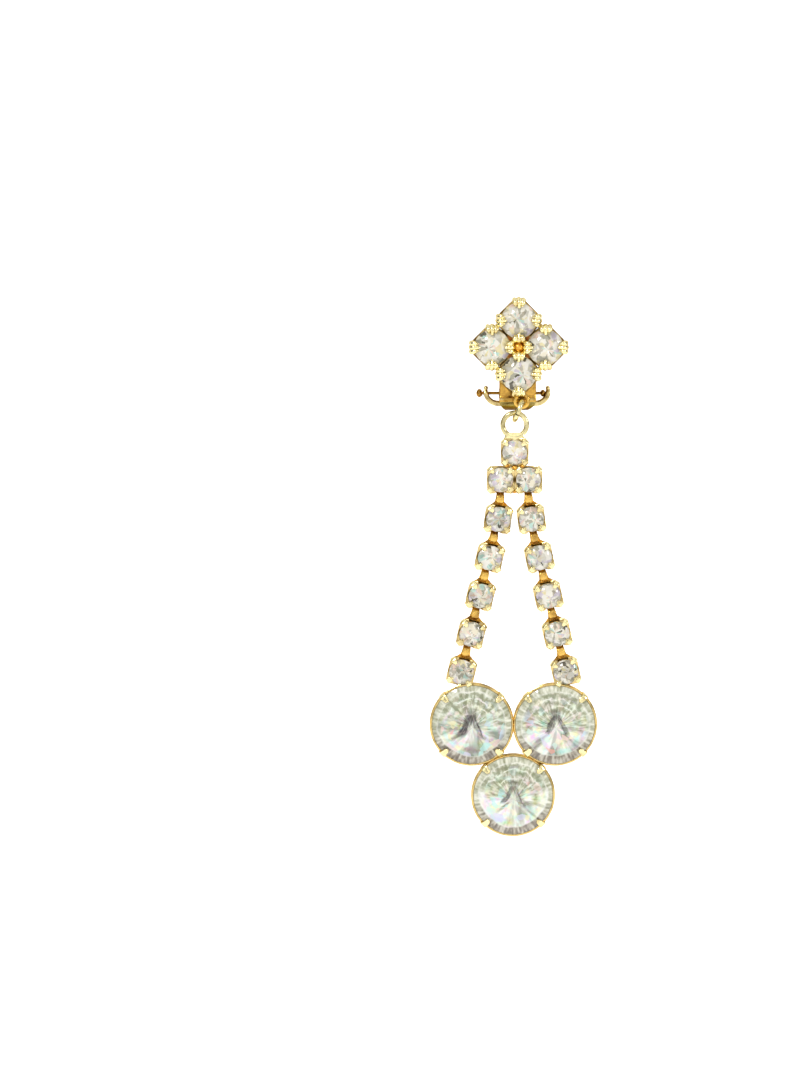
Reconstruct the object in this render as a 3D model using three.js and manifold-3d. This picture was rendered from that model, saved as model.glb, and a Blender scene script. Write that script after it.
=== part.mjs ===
// Chandelier clip earring with rhinestones.
// Millimetres, +Z up, front towards -Y. The origin is the middle of the face that the ear lobe is gripped against.
// Pieces are drawn in face coordinates: x to the right, y up, z out towards the viewer.
import * as THREE from "three";
import { mergeVertices } from "three/addons/utils/BufferGeometryUtils.js";
import Module from "manifold-3d";

const wasm = await Module();
wasm.setup();

// Clearances
const STONE_GAP = 0.15; // between a stone and the metal that holds it
const RING_GAP = 0.25; // between two linked wires, and between a link and its slot
const PIVOT_GAP = 0.22; // between a pivot end and its hole
const SOLDER = 0.1; // how far soldered pieces run into each other
const CUT_OVER = 1; // how far a cutting body reaches past what it cuts

// Steps of round shapes
const WELD = 1e-4; // points nearer than this are one point
const WIRE_SIDES = 6;
const LOOP_STEPS = 14;
const JUMP_STEPS = 18;
const DROP_RING_STEPS = 20;
const PIN_SIDES = 12;
const BARREL_SIDES = 14;
const EAR_STEPS = 8;
const LEVER_STEPS = 10;
const CORNER_STEPS = 2;
const CHATON_SIDES = 16;
const RIVOLI_SIDES = 32;

// Cluster of four stones
const CLUSTER_STONE_R = 2.62;
const CLUSTER_PITCH = 5.7; // between the centres of neighbouring stones
const CLUSTER_CUP_DEPTH = 1.9;
const CLUSTER_CUP_WALL = 0.7;
const CLUSTER_GIRDLE = 0.15;
const CLUSTER_CROWN = 0.95;
const CLUSTER_PAVILION = 2.3;
const CLUSTER_LIFT = 0.1; // from the strap to the points of the stones
const CLUSTER_TAPER = 0.3; // how much narrower a setting is at its foot
const CLUSTER_EDGE = 0.5; // height of its upright edge
const TABLE_SHARE = 0.56; // radius of a small stone's table, as a share of the stone's
const PRONG_THICK = 0.65;
const PRONG_WIDE = 0.95;
const PRONG_REACH = 0.45; // how far a prong tip covers its stone
const PRONG_BEND = 0.5; // above the girdle, where a prong starts to bend in
const PRONG_CHAMFER = 0.3;
const PRONG_TIP = 0.4; // thickness of the tip
const PRONG_CREST = 0.6; // height of the crest above the tip's underside
const PRONG_CREST_IN = 0.2;
const PRONG_SEAT = 0.25; // above the girdle, where the inner face slopes in
const PRONG_ROOT = 0.4; // how far a prong runs down the setting's wall
const TIP_LIFT = 1.35; // lift of a small stone's claw above the crown, in stone gaps

// Clip
const STRAP_WIDE = 5.64;
const STRAP_THICK = 0.8;
const STRAP_TOP = 2.5; // above the origin
const CREASE_DOWN = 8.0; // below the origin, where the strap starts to bend back
const STRAP_DOWN = 9.1; // its lower front edge
const FOOT_BACK = 3.8; // how far the bent foot reaches behind the grip face
const FOOT_FALL = 1.0;
const FOOT_THICK = 0.6;
const FOOT_END_WIDE = 3.8;
const FOOT_BEND = 0.2; // how far the lower edge of the strap leans back
const FOOT_TAPER_FROM = 0.1; // behind the grip face, where the foot starts to narrow
const EAR_R = 1.9; // middle line of the curled ear
const EAR_THICK = 0.6;
const EAR_DEEP = 2.0;
const EAR_CENTRE_X = 2.9;
const EAR_CENTRE_DOWN = 7.0;
const EAR_TIP_DEG = 18;
const EAR_ROOT = 0.4; // how far its root runs into the foot
const PIVOT_DOWN = 7.34;
const PIVOT_BACK = 2.6;
const PIVOT_R = 0.38;
const PIVOT_HEAD_R = 0.72;
const PIVOT_HEAD_LONG = 0.4;
const BARREL_R = 0.8;
const BARREL_HALF = 3.5;
const LEVER_THICK = 0.7;
const LEVER_PAD_HALF = 3.1;
const LEVER_WAIST_HALF = 2.2;
const LEVER_TOP = 2.9;
const LEVER_BOW = 0.5; // how far the lever bows back behind the pivot
const LEVER_GAP = 0.5; // between the closed pad and the strap
const LEVER_NECK_BACK = 1.2; // how far the neck lies behind the pad
const LEVER_LIP_BACK = 0.9; // how far the lip bends away above the pad
const BOW_SHARE = 0.6; // heights of bow, neck, waist and pad, as shares of the way down to the pivot
const NECK_SHARE = 0.28;
const WAIST_SHARE = 0.55;
const PAD_SHARE = 0.2;
const LEVER_ROOM = 5; // behind the pivot, where the lever's outline is cut

// Rings between clip and drop
const HANG_FORWARD = 3.2; // the plane of the drop, in front of the grip face
const LOOP_R = 0.95;
const LOOP_WIRE = 0.65;
const JUMP_R = 1.55;
const JUMP_WIRE = 0.75;
const JUMP_LEAN_DEG = 20; // sideways lean of the jump ring
const DROP_RING_R = 1.81;
const DROP_RING_WIRE = 0.78;
const NECK_SUNK = 0.2; // how far the top cup runs into the ring
const NECK_TOP = 0.78; // top of the neck below the ring's centre, in ring radii
const NECK_HALF = 0.75; // half the neck's width, in ring radii
const NECK_FLARE = 0.5;

// Square cups of the head and the chains
const CUP_SIZE = 4.25;
const CUP_CORNER = 0.95;
const CUP_WALL = 0.25;
const CUP_FLOOR = 0.3;
const CUP_DEPTH = 2.0;
const CUP_CROWN = 0.6;
const CUP_PAVILION = 1.45;
const CUP_GIRDLE = 0.12;
const CLAW_THICK = 0.4;
const CLAW_WIDE = 0.8;
const CLAW_REACH = 0.35;
const CLAW_INSET = 0.03; // how far a claw stays inside the corner
const CLAW_ROOT = 0.7; // where a claw starts, as a share of the cup's depth
const CLAW_BEND = 0.2; // above the girdle, where it starts to bend in
const CLAW_CHAMFER = 0.3;
const CLAW_CREST = 0.3; // height of the crest above the tip's underside
const CLAW_CREST_OUT = 0.1;
const SLOT_HIGH = 1.1;
const SLOT_CUT = 3; // depth of the slot's cutting body, in walls

// Cup chains
const CHAIN_PITCH = 6.05;
const CHAIN_LEANS_DEG = [4.4, 12, 13.3, 13.3, 13.3]; // route of each chain, step by step
const LINK_WIDE = 1.0;
const LINK_THICK = 0.5;
const LINK_HEAD_WIDE = 2.1;
const LINK_HEAD_LONG = 0.5;

// Three large stones
const RIVOLI_R = 6.0;
const RIVOLI_TABLE_R = 0.35;
const RIVOLI_CROWN = 2.4;
const RIVOLI_PAVILION = 2.9;
const RIVOLI_GIRDLE = 0.3;
const RIVOLI_RIM = 0.8; // width of the rim facets
const RIVOLI_RIM_RISE = 0.42;
const RIVOLI_WALL = 0.3;
const RIVOLI_CUP_DEPTH = 3.5;
const RIVOLI_FLARE = 2.4; // depth of the sloping part of the setting
const RIVOLI_BACK_R = 5.3;
const RIVOLI_LEDGE = 0.6;
const RIVOLI_CLAW_REACH = 1.0;
const RIVOLI_CLAW_THICK = 0.35;
const RIVOLI_CLAW_WIDE = 0.8;
const RIVOLI_CLAW_ROOT = 0.6; // below the rim, where a claw leaves the wall
const RIVOLI_CLAW_LOW = 0.9; // below the rim, where its outer face starts
const RIVOLI_CLAW_PROUD = 0.08;
const RIVOLI_CLAW_BEND = 0.3; // above the girdle, where it starts to bend in
const RIVOLI_CLAW_EASE = 0.1;
const RIVOLI_TIP_SHARE = 0.6; // thickness of the tip, as a share of the claw's
const RIVOLI_TIP_LIFT = 1.2; // lift of the tip above the crown, in stone gaps
const RIVOLI_SEAT = 0.3; // height of the slope that carries the stone
const RIVOLI_LEDGE_THICK = 0.6;
const ROOM_DEPTHS = 3; // length of the room that the last cups leave the large stones, in setting depths
const TRIO_FORWARD = 0.7; // girdles of the large stones, in front of the plane of the drop

const gold = { color: 0xe8bf55, roughness: 0.22, metalness: 1.0 };
const amberGold = { color: 0xc98a24, roughness: 0.3, metalness: 1.0 };
const crystal = { color: 0xeef2ec, roughness: 0.03, metalness: 0.0, transparent: true, opacity: 0.6 };

const rad = THREE.MathUtils.degToRad;

// Places that follow from the sizes
const clusterArm = CLUSTER_PITCH / Math.SQRT2;
const prongOuter = CLUSTER_STONE_R + STONE_GAP + PRONG_THICK;
const clusterCulet = STRAP_THICK + CLUSTER_LIFT;
const clusterGirdle = clusterCulet + CLUSTER_PAVILION;
const lean = rad(JUMP_LEAN_DEG);
const jumpSide = JUMP_R * Math.sin(lean);
const jumpTop = -(clusterArm + prongOuter) - RING_GAP - JUMP_WIRE / 2;
const jumpBottom = jumpTop - 2 * JUMP_R * Math.cos(lean);
const loopBottom = jumpTop - (LOOP_WIRE + JUMP_WIRE) / 2 - RING_GAP;
const dropRingTop = jumpBottom + (JUMP_WIRE + DROP_RING_WIRE) / 2 + RING_GAP;
const dropRingY = dropRingTop - DROP_RING_R;
const cupStoneR = CUP_SIZE / 2 - CUP_WALL - STONE_GAP;
const cupGirdle = CUP_FLOOR + STONE_GAP + CUP_PAVILION;
const cupTable = cupGirdle + CUP_GIRDLE + CUP_CROWN;
const cupBack = HANG_FORWARD - cupTable / 2;
const headPitch = CUP_SIZE - SOLDER / 2;
const headTopY = dropRingY - DROP_RING_R - DROP_RING_WIRE / 2 - CUP_SIZE / 2 + NECK_SUNK;
const headLowY = headTopY - headPitch;
const rivoliOuter = RIVOLI_R + STONE_GAP + RIVOLI_WALL;
const rivoliGirdle = RIVOLI_CUP_DEPTH - RIVOLI_GIRDLE / 2;
const trioPitch = 2 * rivoliOuter - SOLDER;
const trioBack = HANG_FORWARD - rivoliGirdle + TRIO_FORWARD;

// Turns a closed geometry into a solid that can be joined and cut.
function solid(geometry) {
  const bare = geometry.index ? geometry.toNonIndexed() : geometry.clone();
  bare.deleteAttribute("normal");
  bare.deleteAttribute("uv");
  const merged = mergeVertices(bare, WELD);
  const vertProperties = new Float32Array(merged.attributes.position.array);
  const triVerts = new Uint32Array(merged.index.array);
  return new wasm.Manifold(new wasm.Mesh({ numProp: 3, vertProperties, triVerts }));
}

// Turns a solid back into a geometry.
function shapeOf(body) {
  const mesh = body.getMesh();
  const geometry = new THREE.BufferGeometry();
  geometry.setAttribute("position", new THREE.BufferAttribute(mesh.vertProperties, 3));
  geometry.setIndex(new THREE.BufferAttribute(mesh.triVerts, 1));
  geometry.computeVertexNormals();
  return geometry;
}

function joined(bodies) {
  return bodies.reduce((all, body) => all.add(body));
}

// A straight extrusion of an outline of [x, y] points, from z = from to z = to.
function slab(points, from, to) {
  const shape = new THREE.Shape(points.map(([x, y]) => new THREE.Vector2(x, y)));
  const geometry = new THREE.ExtrudeGeometry(shape, { depth: to - from, bevelEnabled: false });
  return geometry.translate(0, 0, from);
}

// A box given by its middle and its sizes.
function block(x, y, z, wide, high, deep) {
  return new THREE.BoxGeometry(wide, high, deep).translate(x, y, z);
}

// A round body about the z axis, from a closed outline of [radius, z] points.
function turned(points, sides) {
  const outline = [...points, points[0]].map(([r, z]) => new THREE.Vector2(r, z));
  return new THREE.LatheGeometry(outline, sides).rotateX(Math.PI / 2);
}

// A claw or prong: an outline of [radius, z] points, as wide as asked, standing at an angle about the z axis.
function claw(points, wide, angle) {
  return slab(points, -wide / 2, wide / 2).rotateX(Math.PI / 2).rotateZ(angle);
}

// Points of an outline round a square with round corners.
function roundSquare(size, corner, steps) {
  const points = [];
  const reach = size / 2 - corner;
  for (let quarter = 0; quarter < 4; quarter++) {
    const turn = (quarter * Math.PI) / 2;
    for (let i = 0; i <= steps; i++) {
      const angle = turn + (i * Math.PI) / 2 / steps;
      const cornerX = reach * Math.SQRT2 * Math.cos(turn + Math.PI / 4);
      const cornerY = reach * Math.SQRT2 * Math.sin(turn + Math.PI / 4);
      points.push([cornerX + corner * Math.cos(angle), cornerY + corner * Math.sin(angle)]);
    }
  }
  return points;
}

// A closed body from rings of points, each [radius, z, count, turn], closed at both ends.
// Two neighbouring rings have the same count, or one has a multiple of the other's. A count of 1 is a point.
function faceted(rings) {
  const vertices = [];
  const starts = [];
  for (const [r, z, count, turn] of rings) {
    starts.push(vertices.length);
    for (let i = 0; i < count; i++) {
      const angle = turn + (i * 2 * Math.PI) / count;
      vertices.push([r * Math.cos(angle), r * Math.sin(angle), z]);
    }
  }
  const triangles = [];
  for (let i = 0; i + 1 < rings.length; i++) {
    triangles.push(...band(rings[i], rings[i + 1], starts[i], starts[i + 1]));
  }
  triangles.push(...cap(rings[0], starts[0], false));
  const last = rings.length - 1;
  triangles.push(...cap(rings[last], starts[last], true));
  const geometry = new THREE.BufferGeometry();
  geometry.setAttribute("position", new THREE.Float32BufferAttribute(vertices.flat(), 3));
  geometry.setIndex(triangles.flat());
  return geometry;
}

// Triangles between a lower and an upper ring, found by walking both round by angle.
function band(low, high, lowStart, highStart) {
  const triangles = [];
  const angleOf = ([, , count, turn], i) => (count === 1 ? Infinity : turn + (i * 2 * Math.PI) / count);
  const [lowCount, highCount] = [low[2], high[2]];
  let [a, b] = [0, 0];
  const lowSteps = lowCount === 1 ? 0 : lowCount;
  const highSteps = highCount === 1 ? 0 : highCount;
  while (a < lowSteps || b < highSteps) {
    const lowNext = a < lowSteps ? angleOf(low, a + 1) : Infinity;
    const highNext = b < highSteps ? angleOf(high, b + 1) : Infinity;
    const p = lowStart + (a % lowCount);
    const q = highStart + (b % highCount);
    if (lowNext <= highNext) {
      a += 1;
      triangles.push([p, lowStart + (a % lowCount), q]);
    } else {
      b += 1;
      triangles.push([p, highStart + (b % highCount), q]);
    }
  }
  return triangles;
}

// Triangles that close the end of a faceted body.
function cap([, , count], start, up) {
  const triangles = [];
  for (let i = 1; i + 1 < count; i++) {
    triangles.push(up ? [start, start + i, start + i + 1] : [start, start + i + 1, start + i]);
  }
  return triangles;
}

// A round stone with an eight-sided table, sixteen-sided girdle and pointed back. Its girdle starts at z = 0.
function chaton(radius, crown, pavilion, girdle) {
  const half = Math.PI / CHATON_SIDES;
  return faceted([
    [0, -pavilion, 1, 0],
    [radius, 0, CHATON_SIDES, half],
    [radius, girdle, CHATON_SIDES, half],
    [radius * TABLE_SHARE, girdle + crown, CHATON_SIDES / 2, 2 * half],
  ]);
}

// A pointed round stone: rim facets, a low cone in front with a tiny table, and a pointed back.
function rivoli() {
  const half = Math.PI / RIVOLI_SIDES;
  return faceted([
    [0, -RIVOLI_PAVILION, 1, 0],
    [RIVOLI_R, 0, RIVOLI_SIDES, half],
    [RIVOLI_R, RIVOLI_GIRDLE, RIVOLI_SIDES, half],
    [RIVOLI_R - RIVOLI_RIM, RIVOLI_GIRDLE + RIVOLI_RIM_RISE, RIVOLI_SIDES / 2, 2 * half],
    [RIVOLI_TABLE_R, RIVOLI_GIRDLE + RIVOLI_CROWN, RIVOLI_SIDES / 4, 4 * half],
  ]);
}

// Height of a stone's crown above its girdle at a radius.
function crownAt(r, stoneR, tableR, crown) {
  return ((stoneR - r) / (stoneR - tableR)) * crown;
}

// One round claw setting of the cluster, about its own centre.
function clusterSetting() {
  const outer = CLUSTER_PITCH / 2 + SOLDER / 2;
  const low = STRAP_THICK - SOLDER;
  const top = low + CLUSTER_CUP_DEPTH;
  const bodies = [
    turned(
      [
        [outer - CLUSTER_TAPER - CLUSTER_CUP_WALL, low],
        [outer - CLUSTER_TAPER, low],
        [outer, top - CLUSTER_EDGE],
        [outer, top],
        [outer - CLUSTER_CUP_WALL, top],
      ],
      CHATON_SIDES,
    ),
  ];
  const inner = CLUSTER_STONE_R + STONE_GAP;
  const seat = clusterGirdle + CLUSTER_GIRDLE;
  const tipR = CLUSTER_STONE_R - PRONG_REACH;
  const tableR = CLUSTER_STONE_R * TABLE_SHARE;
  const tip = seat + crownAt(tipR, CLUSTER_STONE_R, tableR, CLUSTER_CROWN) + TIP_LIFT * STONE_GAP;
  const outline = [
    [outer - CLUSTER_CUP_WALL, low],
    [prongOuter - CLUSTER_TAPER, low],
    [prongOuter, top],
    [prongOuter, seat + PRONG_BEND],
    [prongOuter - PRONG_CHAMFER, tip + PRONG_TIP],
    [inner - PRONG_CREST_IN, tip + PRONG_CREST],
    [tipR, tip + PRONG_TIP],
    [tipR, tip],
    [inner, seat + PRONG_SEAT],
    [inner, top - PRONG_ROOT],
    [outer - CLUSTER_CUP_WALL, top - PRONG_ROOT],
  ];
  for (let i = 0; i < 4; i++) {
    bodies.push(claw(outline, PRONG_WIDE, (i * Math.PI) / 2));
  }
  return joined(bodies.map(solid));
}

// Centres of the four settings, named as seen from the front.
const clusterPlaces = {
  top: [0, clusterArm],
  left: [-clusterArm, 0],
  right: [clusterArm, 0],
  bottom: [0, -clusterArm],
};

// The strap behind the cluster with its foot bent back, from its side outline of [z, y] points.
function strap() {
  const side = [
    [0, STRAP_TOP],
    [STRAP_THICK, STRAP_TOP],
    [STRAP_THICK, -CREASE_DOWN],
    [STRAP_THICK - FOOT_BEND, -STRAP_DOWN],
    [-FOOT_BACK, -STRAP_DOWN - FOOT_FALL],
    [-FOOT_BACK, -STRAP_DOWN - FOOT_FALL + FOOT_THICK],
    [-FOOT_BEND, -STRAP_DOWN + FOOT_THICK],
    [0, -CREASE_DOWN],
  ].map(([z, y]) => [-z, y]);
  const sheet = slab(side, -STRAP_WIDE / 2, STRAP_WIDE / 2).rotateY(Math.PI / 2);
  const plan = [
    [-STRAP_WIDE / 2, -STRAP_THICK - CUT_OVER],
    [STRAP_WIDE / 2, -STRAP_THICK - CUT_OVER],
    [STRAP_WIDE / 2, FOOT_TAPER_FROM],
    [FOOT_END_WIDE / 2, FOOT_BACK + FOOT_TAPER_FROM],
    [-FOOT_END_WIDE / 2, FOOT_BACK + FOOT_TAPER_FROM],
    [-STRAP_WIDE / 2, FOOT_TAPER_FROM],
  ];
  const tall = STRAP_DOWN + FOOT_FALL + CUT_OVER;
  const keep = slab(plan, -STRAP_TOP - CUT_OVER, tall).rotateX(Math.PI / 2);
  return solid(sheet).intersect(solid(keep));
}

// One curled ear, on the right for side 1 and on the left for side -1, with the hole for the pivot.
function ear(side) {
  const centreY = -EAR_CENTRE_DOWN;
  const outer = EAR_R + EAR_THICK / 2;
  const inner = EAR_R - EAR_THICK / 2;
  const from = -Math.PI / 2;
  const to = rad(EAR_TIP_DEG);
  const rootX = FOOT_END_WIDE / 2 - EAR_ROOT;
  const footMiddle = -STRAP_DOWN - (FOOT_FALL * PIVOT_BACK) / FOOT_BACK + FOOT_THICK / 2;
  const points = [[rootX, footMiddle - EAR_THICK / 2]];
  for (let i = 0; i <= EAR_STEPS; i++) {
    const angle = from + ((to - from) * i) / EAR_STEPS;
    points.push([EAR_CENTRE_X + outer * Math.cos(angle), centreY + outer * Math.sin(angle)]);
  }
  for (let i = EAR_STEPS; i >= 0; i--) {
    const angle = from + ((to - from) * i) / EAR_STEPS;
    points.push([EAR_CENTRE_X + inner * Math.cos(angle), centreY + inner * Math.sin(angle)]);
  }
  points.push([rootX, footMiddle + EAR_THICK / 2]);
  const curl = slab(points, -PIVOT_BACK - EAR_DEEP / 2, -PIVOT_BACK + EAR_DEEP / 2);
  const holeR = PIVOT_R + PIVOT_GAP;
  const hole = new THREE.CylinderGeometry(holeR, holeR, 2 * (EAR_R + CUT_OVER), PIN_SIDES)
    .rotateZ(Math.PI / 2)
    .translate(EAR_CENTRE_X + EAR_R, -PIVOT_DOWN, -PIVOT_BACK);
  const body = solid(curl).subtract(solid(hole));
  return side > 0 ? body : body.mirror([1, 0, 0]);
}

// A wire ring in the plane of x and y.
function wireRing(radius, wire, steps) {
  return new THREE.TorusGeometry(radius, wire / 2, WIRE_SIDES, steps);
}

function clusterFrame() {
  const setting = clusterSetting();
  const bodies = Object.values(clusterPlaces).map(([x, y]) => setting.translate([x, y, 0]));
  bodies.push(strap(), ear(1), ear(-1));
  bodies.push(solid(wireRing(LOOP_R, LOOP_WIRE, LOOP_STEPS).translate(jumpSide, loopBottom + LOOP_R, HANG_FORWARD)));
  return shapeOf(joined(bodies));
}

// The lever: a bowed paddle on a barrel, with a pivot end through each ear.
function clipLever() {
  const earOuter = EAR_CENTRE_X + EAR_R + EAR_THICK / 2;
  const half = LEVER_THICK / 2;
  const middle = new THREE.CatmullRomCurve3([
    new THREE.Vector3(PIVOT_BACK, -PIVOT_DOWN, 0),
    new THREE.Vector3(PIVOT_BACK + LEVER_BOW, -PIVOT_DOWN * BOW_SHARE, 0),
    new THREE.Vector3(LEVER_GAP + half + LEVER_NECK_BACK, -PIVOT_DOWN * NECK_SHARE, 0),
    new THREE.Vector3(LEVER_GAP + half, 0, 0),
    new THREE.Vector3(LEVER_GAP + half + LEVER_LIP_BACK, LEVER_TOP, 0),
  ]);
  const [near, far] = [[], []];
  for (let i = 0; i <= LEVER_STEPS; i++) {
    const point = middle.getPoint(i / LEVER_STEPS);
    const along = middle.getTangent(i / LEVER_STEPS);
    near.push([point.x + along.y * half, point.y - along.x * half]);
    far.push([point.x - along.y * half, point.y + along.x * half]);
  }
  const sheet = slab([...near, ...far.reverse()], -LEVER_PAD_HALF, LEVER_PAD_HALF).rotateY(Math.PI / 2);
  const outline = new THREE.Shape();
  outline.moveTo(-LEVER_WAIST_HALF, -PIVOT_DOWN - CUT_OVER);
  outline.lineTo(LEVER_WAIST_HALF, -PIVOT_DOWN - CUT_OVER);
  outline.lineTo(LEVER_WAIST_HALF, -PIVOT_DOWN * WAIST_SHARE);
  outline.lineTo(LEVER_PAD_HALF, -PIVOT_DOWN * PAD_SHARE);
  outline.absarc(0, LEVER_TOP - LEVER_PAD_HALF, LEVER_PAD_HALF, 0, Math.PI, false);
  outline.lineTo(-LEVER_PAD_HALF, -PIVOT_DOWN * PAD_SHARE);
  outline.lineTo(-LEVER_WAIST_HALF, -PIVOT_DOWN * WAIST_SHARE);
  const deep = PIVOT_BACK + LEVER_ROOM;
  const cut = { depth: deep + CUT_OVER, bevelEnabled: false, curveSegments: LEVER_STEPS };
  const keep = new THREE.ExtrudeGeometry(outline, cut).translate(0, 0, -deep);
  const paddle = solid(sheet).intersect(solid(keep));
  const rod = (radius, long, x, sides) =>
    solid(
      new THREE.CylinderGeometry(radius, radius, long, sides)
        .rotateZ(Math.PI / 2)
        .translate(x, -PIVOT_DOWN, -PIVOT_BACK),
    );
  const bodies = [paddle, rod(BARREL_R, 2 * BARREL_HALF, 0, BARREL_SIDES)];
  const headX = earOuter + PIVOT_GAP + PIVOT_HEAD_LONG / 2;
  bodies.push(rod(PIVOT_R, 2 * headX, 0, PIN_SIDES));
  for (const side of [-1, 1]) {
    bodies.push(rod(PIVOT_HEAD_R, PIVOT_HEAD_LONG, side * headX, PIN_SIDES));
  }
  return shapeOf(joined(bodies));
}

function jumpRing() {
  const middle = (jumpTop + jumpBottom) / 2;
  const ring = wireRing(JUMP_R, JUMP_WIRE, JUMP_STEPS);
  return ring.rotateY(Math.PI / 2).rotateZ(-lean).translate(0, middle, HANG_FORWARD);
}

// One square cup about its own centre, its back at z = 0. Slots for links open in its upper or lower wall.
function cup(slotAbove, slotBelow) {
  const outside = slab(roundSquare(CUP_SIZE, CUP_CORNER, CORNER_STEPS), 0, CUP_DEPTH);
  const innerSize = CUP_SIZE - 2 * CUP_WALL;
  const inside = roundSquare(innerSize, CUP_CORNER - CUP_WALL, CORNER_STEPS);
  const pocket = slab(inside, CUP_FLOOR, CUP_DEPTH + CUT_OVER);
  let body = solid(outside).subtract(solid(pocket));
  const slotWide = LINK_WIDE + 2 * RING_GAP;
  for (const [wanted, side] of [
    [slotAbove, 1],
    [slotBelow, -1],
  ]) {
    if (wanted) {
      const y = side * (CUP_SIZE / 2 - CUP_WALL / 2);
      const slot = block(0, y, CUP_FLOOR + SLOT_HIGH / 2, slotWide, CUP_WALL * SLOT_CUT, SLOT_HIGH);
      body = body.subtract(solid(slot));
    }
  }
  const diagonal = (CUP_SIZE / 2) * Math.SQRT2 - CUP_CORNER * (Math.SQRT2 - 1);
  const girdle = cupGirdle + CUP_GIRDLE;
  const tipR = cupStoneR - CLAW_REACH;
  const tip = girdle + crownAt(tipR, cupStoneR, cupStoneR * TABLE_SHARE, CUP_CROWN) + TIP_LIFT * STONE_GAP;
  const outline = [
    [diagonal - CLAW_THICK, CUP_DEPTH * CLAW_ROOT],
    [diagonal - CLAW_INSET, CUP_DEPTH * CLAW_ROOT],
    [diagonal - CLAW_INSET, girdle + CLAW_BEND],
    [diagonal - CLAW_CHAMFER, tip + CLAW_BEND],
    [tipR + CLAW_CREST_OUT, tip + CLAW_CREST],
    [tipR, tip],
    [cupStoneR + STONE_GAP, girdle + CLAW_BEND],
  ];
  for (let i = 0; i < 4; i++) {
    body = body.add(solid(claw(outline, CLAW_WIDE, ((2 * i + 1) * Math.PI) / 4)));
  }
  return body;
}

// The drop's ring, its neck and the triangle of three cups.
function headFrame() {
  const wire = wireRing(DROP_RING_R, DROP_RING_WIRE, DROP_RING_STEPS);
  const ring = solid(wire.translate(0, dropRingY, HANG_FORWARD));
  const neckTop = dropRingY - DROP_RING_R * NECK_TOP;
  const neckLow = headTopY + CUP_SIZE / 2 - SOLDER;
  const neckHalf = DROP_RING_R * NECK_HALF;
  const neck = slab(
    [
      [-neckHalf - NECK_FLARE, neckLow],
      [neckHalf + NECK_FLARE, neckLow],
      [neckHalf, neckTop],
      [0, dropRingY - DROP_RING_R],
      [-neckHalf, neckTop],
    ],
    HANG_FORWARD - DROP_RING_WIRE / 2,
    HANG_FORWARD + DROP_RING_WIRE / 2,
  );
  const bodies = [ring, solid(neck), cup(false, false).translate([0, headTopY, cupBack])];
  for (const side of [-1, 1]) {
    bodies.push(cup(false, true).translate([(side * headPitch) / 2, headLowY, cupBack]));
  }
  return shapeOf(joined(bodies));
}

// The places of a chain's cups, on the right for side 1: x, y and the cup's own lean from upright.
function chainPlaces(side) {
  const places = [{ x: (side * headPitch) / 2, y: headLowY, lean: 0 }];
  CHAIN_LEANS_DEG.forEach((step, i) => {
    const last = places[places.length - 1];
    const next = CHAIN_LEANS_DEG[i + 1] ?? step;
    places.push({
      x: last.x + side * CHAIN_PITCH * Math.sin(rad(step)),
      y: last.y - CHAIN_PITCH * Math.cos(rad(step)),
      lean: (side * rad(step + next)) / 2,
    });
  });
  return places;
}

// The middle of a cup's upper wall for end 1, or of its lower wall for end -1.
function wallMiddle(place, end) {
  const reach = (end * CUP_SIZE) / 2;
  return new THREE.Vector2(place.x - reach * Math.sin(place.lean), place.y + reach * Math.cos(place.lean));
}

// A flat link between two cups, with a head behind each slot.
function link(upper, lower) {
  const from = wallMiddle(upper, -1);
  const to = wallMiddle(lower, 1);
  const half = from.distanceTo(to) / 2 + CUP_WALL + RING_GAP + LINK_HEAD_LONG;
  const neck = half - LINK_HEAD_LONG;
  const [bar, head] = [LINK_WIDE / 2, LINK_HEAD_WIDE / 2];
  const outline = [
    [-head, -half],
    [head, -half],
    [head, -neck],
    [bar, -neck],
    [bar, neck],
    [head, neck],
    [head, half],
    [-head, half],
    [-head, neck],
    [-bar, neck],
    [-bar, -neck],
    [-head, -neck],
  ];
  const low = CUP_FLOOR + (SLOT_HIGH - LINK_THICK) / 2;
  const mesh = slab(outline, low, low + LINK_THICK);
  const turn = Math.atan2(to.x - from.x, from.y - to.y);
  return mesh.rotateZ(turn).translate((from.x + to.x) / 2, (from.y + to.y) / 2, cupBack);
}

const chains = { left: chainPlaces(-1), right: chainPlaces(1) };
const lastCup = CHAIN_LEANS_DEG.length;
const lastCups = { left: chains.left[lastCup], right: chains.right[lastCup] };

// Centres of the three large settings. The upper two carry the last cup of each chain on their rims.
const trioSide = trioPitch / 2;
const trioRise = Math.sqrt(rivoliOuter ** 2 - (lastCups.right.x - trioSide) ** 2);
const trioTopY = lastCups.right.y - CUP_SIZE / 2 - trioRise + 2 * SOLDER;
const trioPlaces = {
  left: [-trioSide, trioTopY],
  right: [trioSide, trioTopY],
  bottom: [0, trioTopY - (trioPitch * Math.sqrt(3)) / 2],
};

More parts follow.
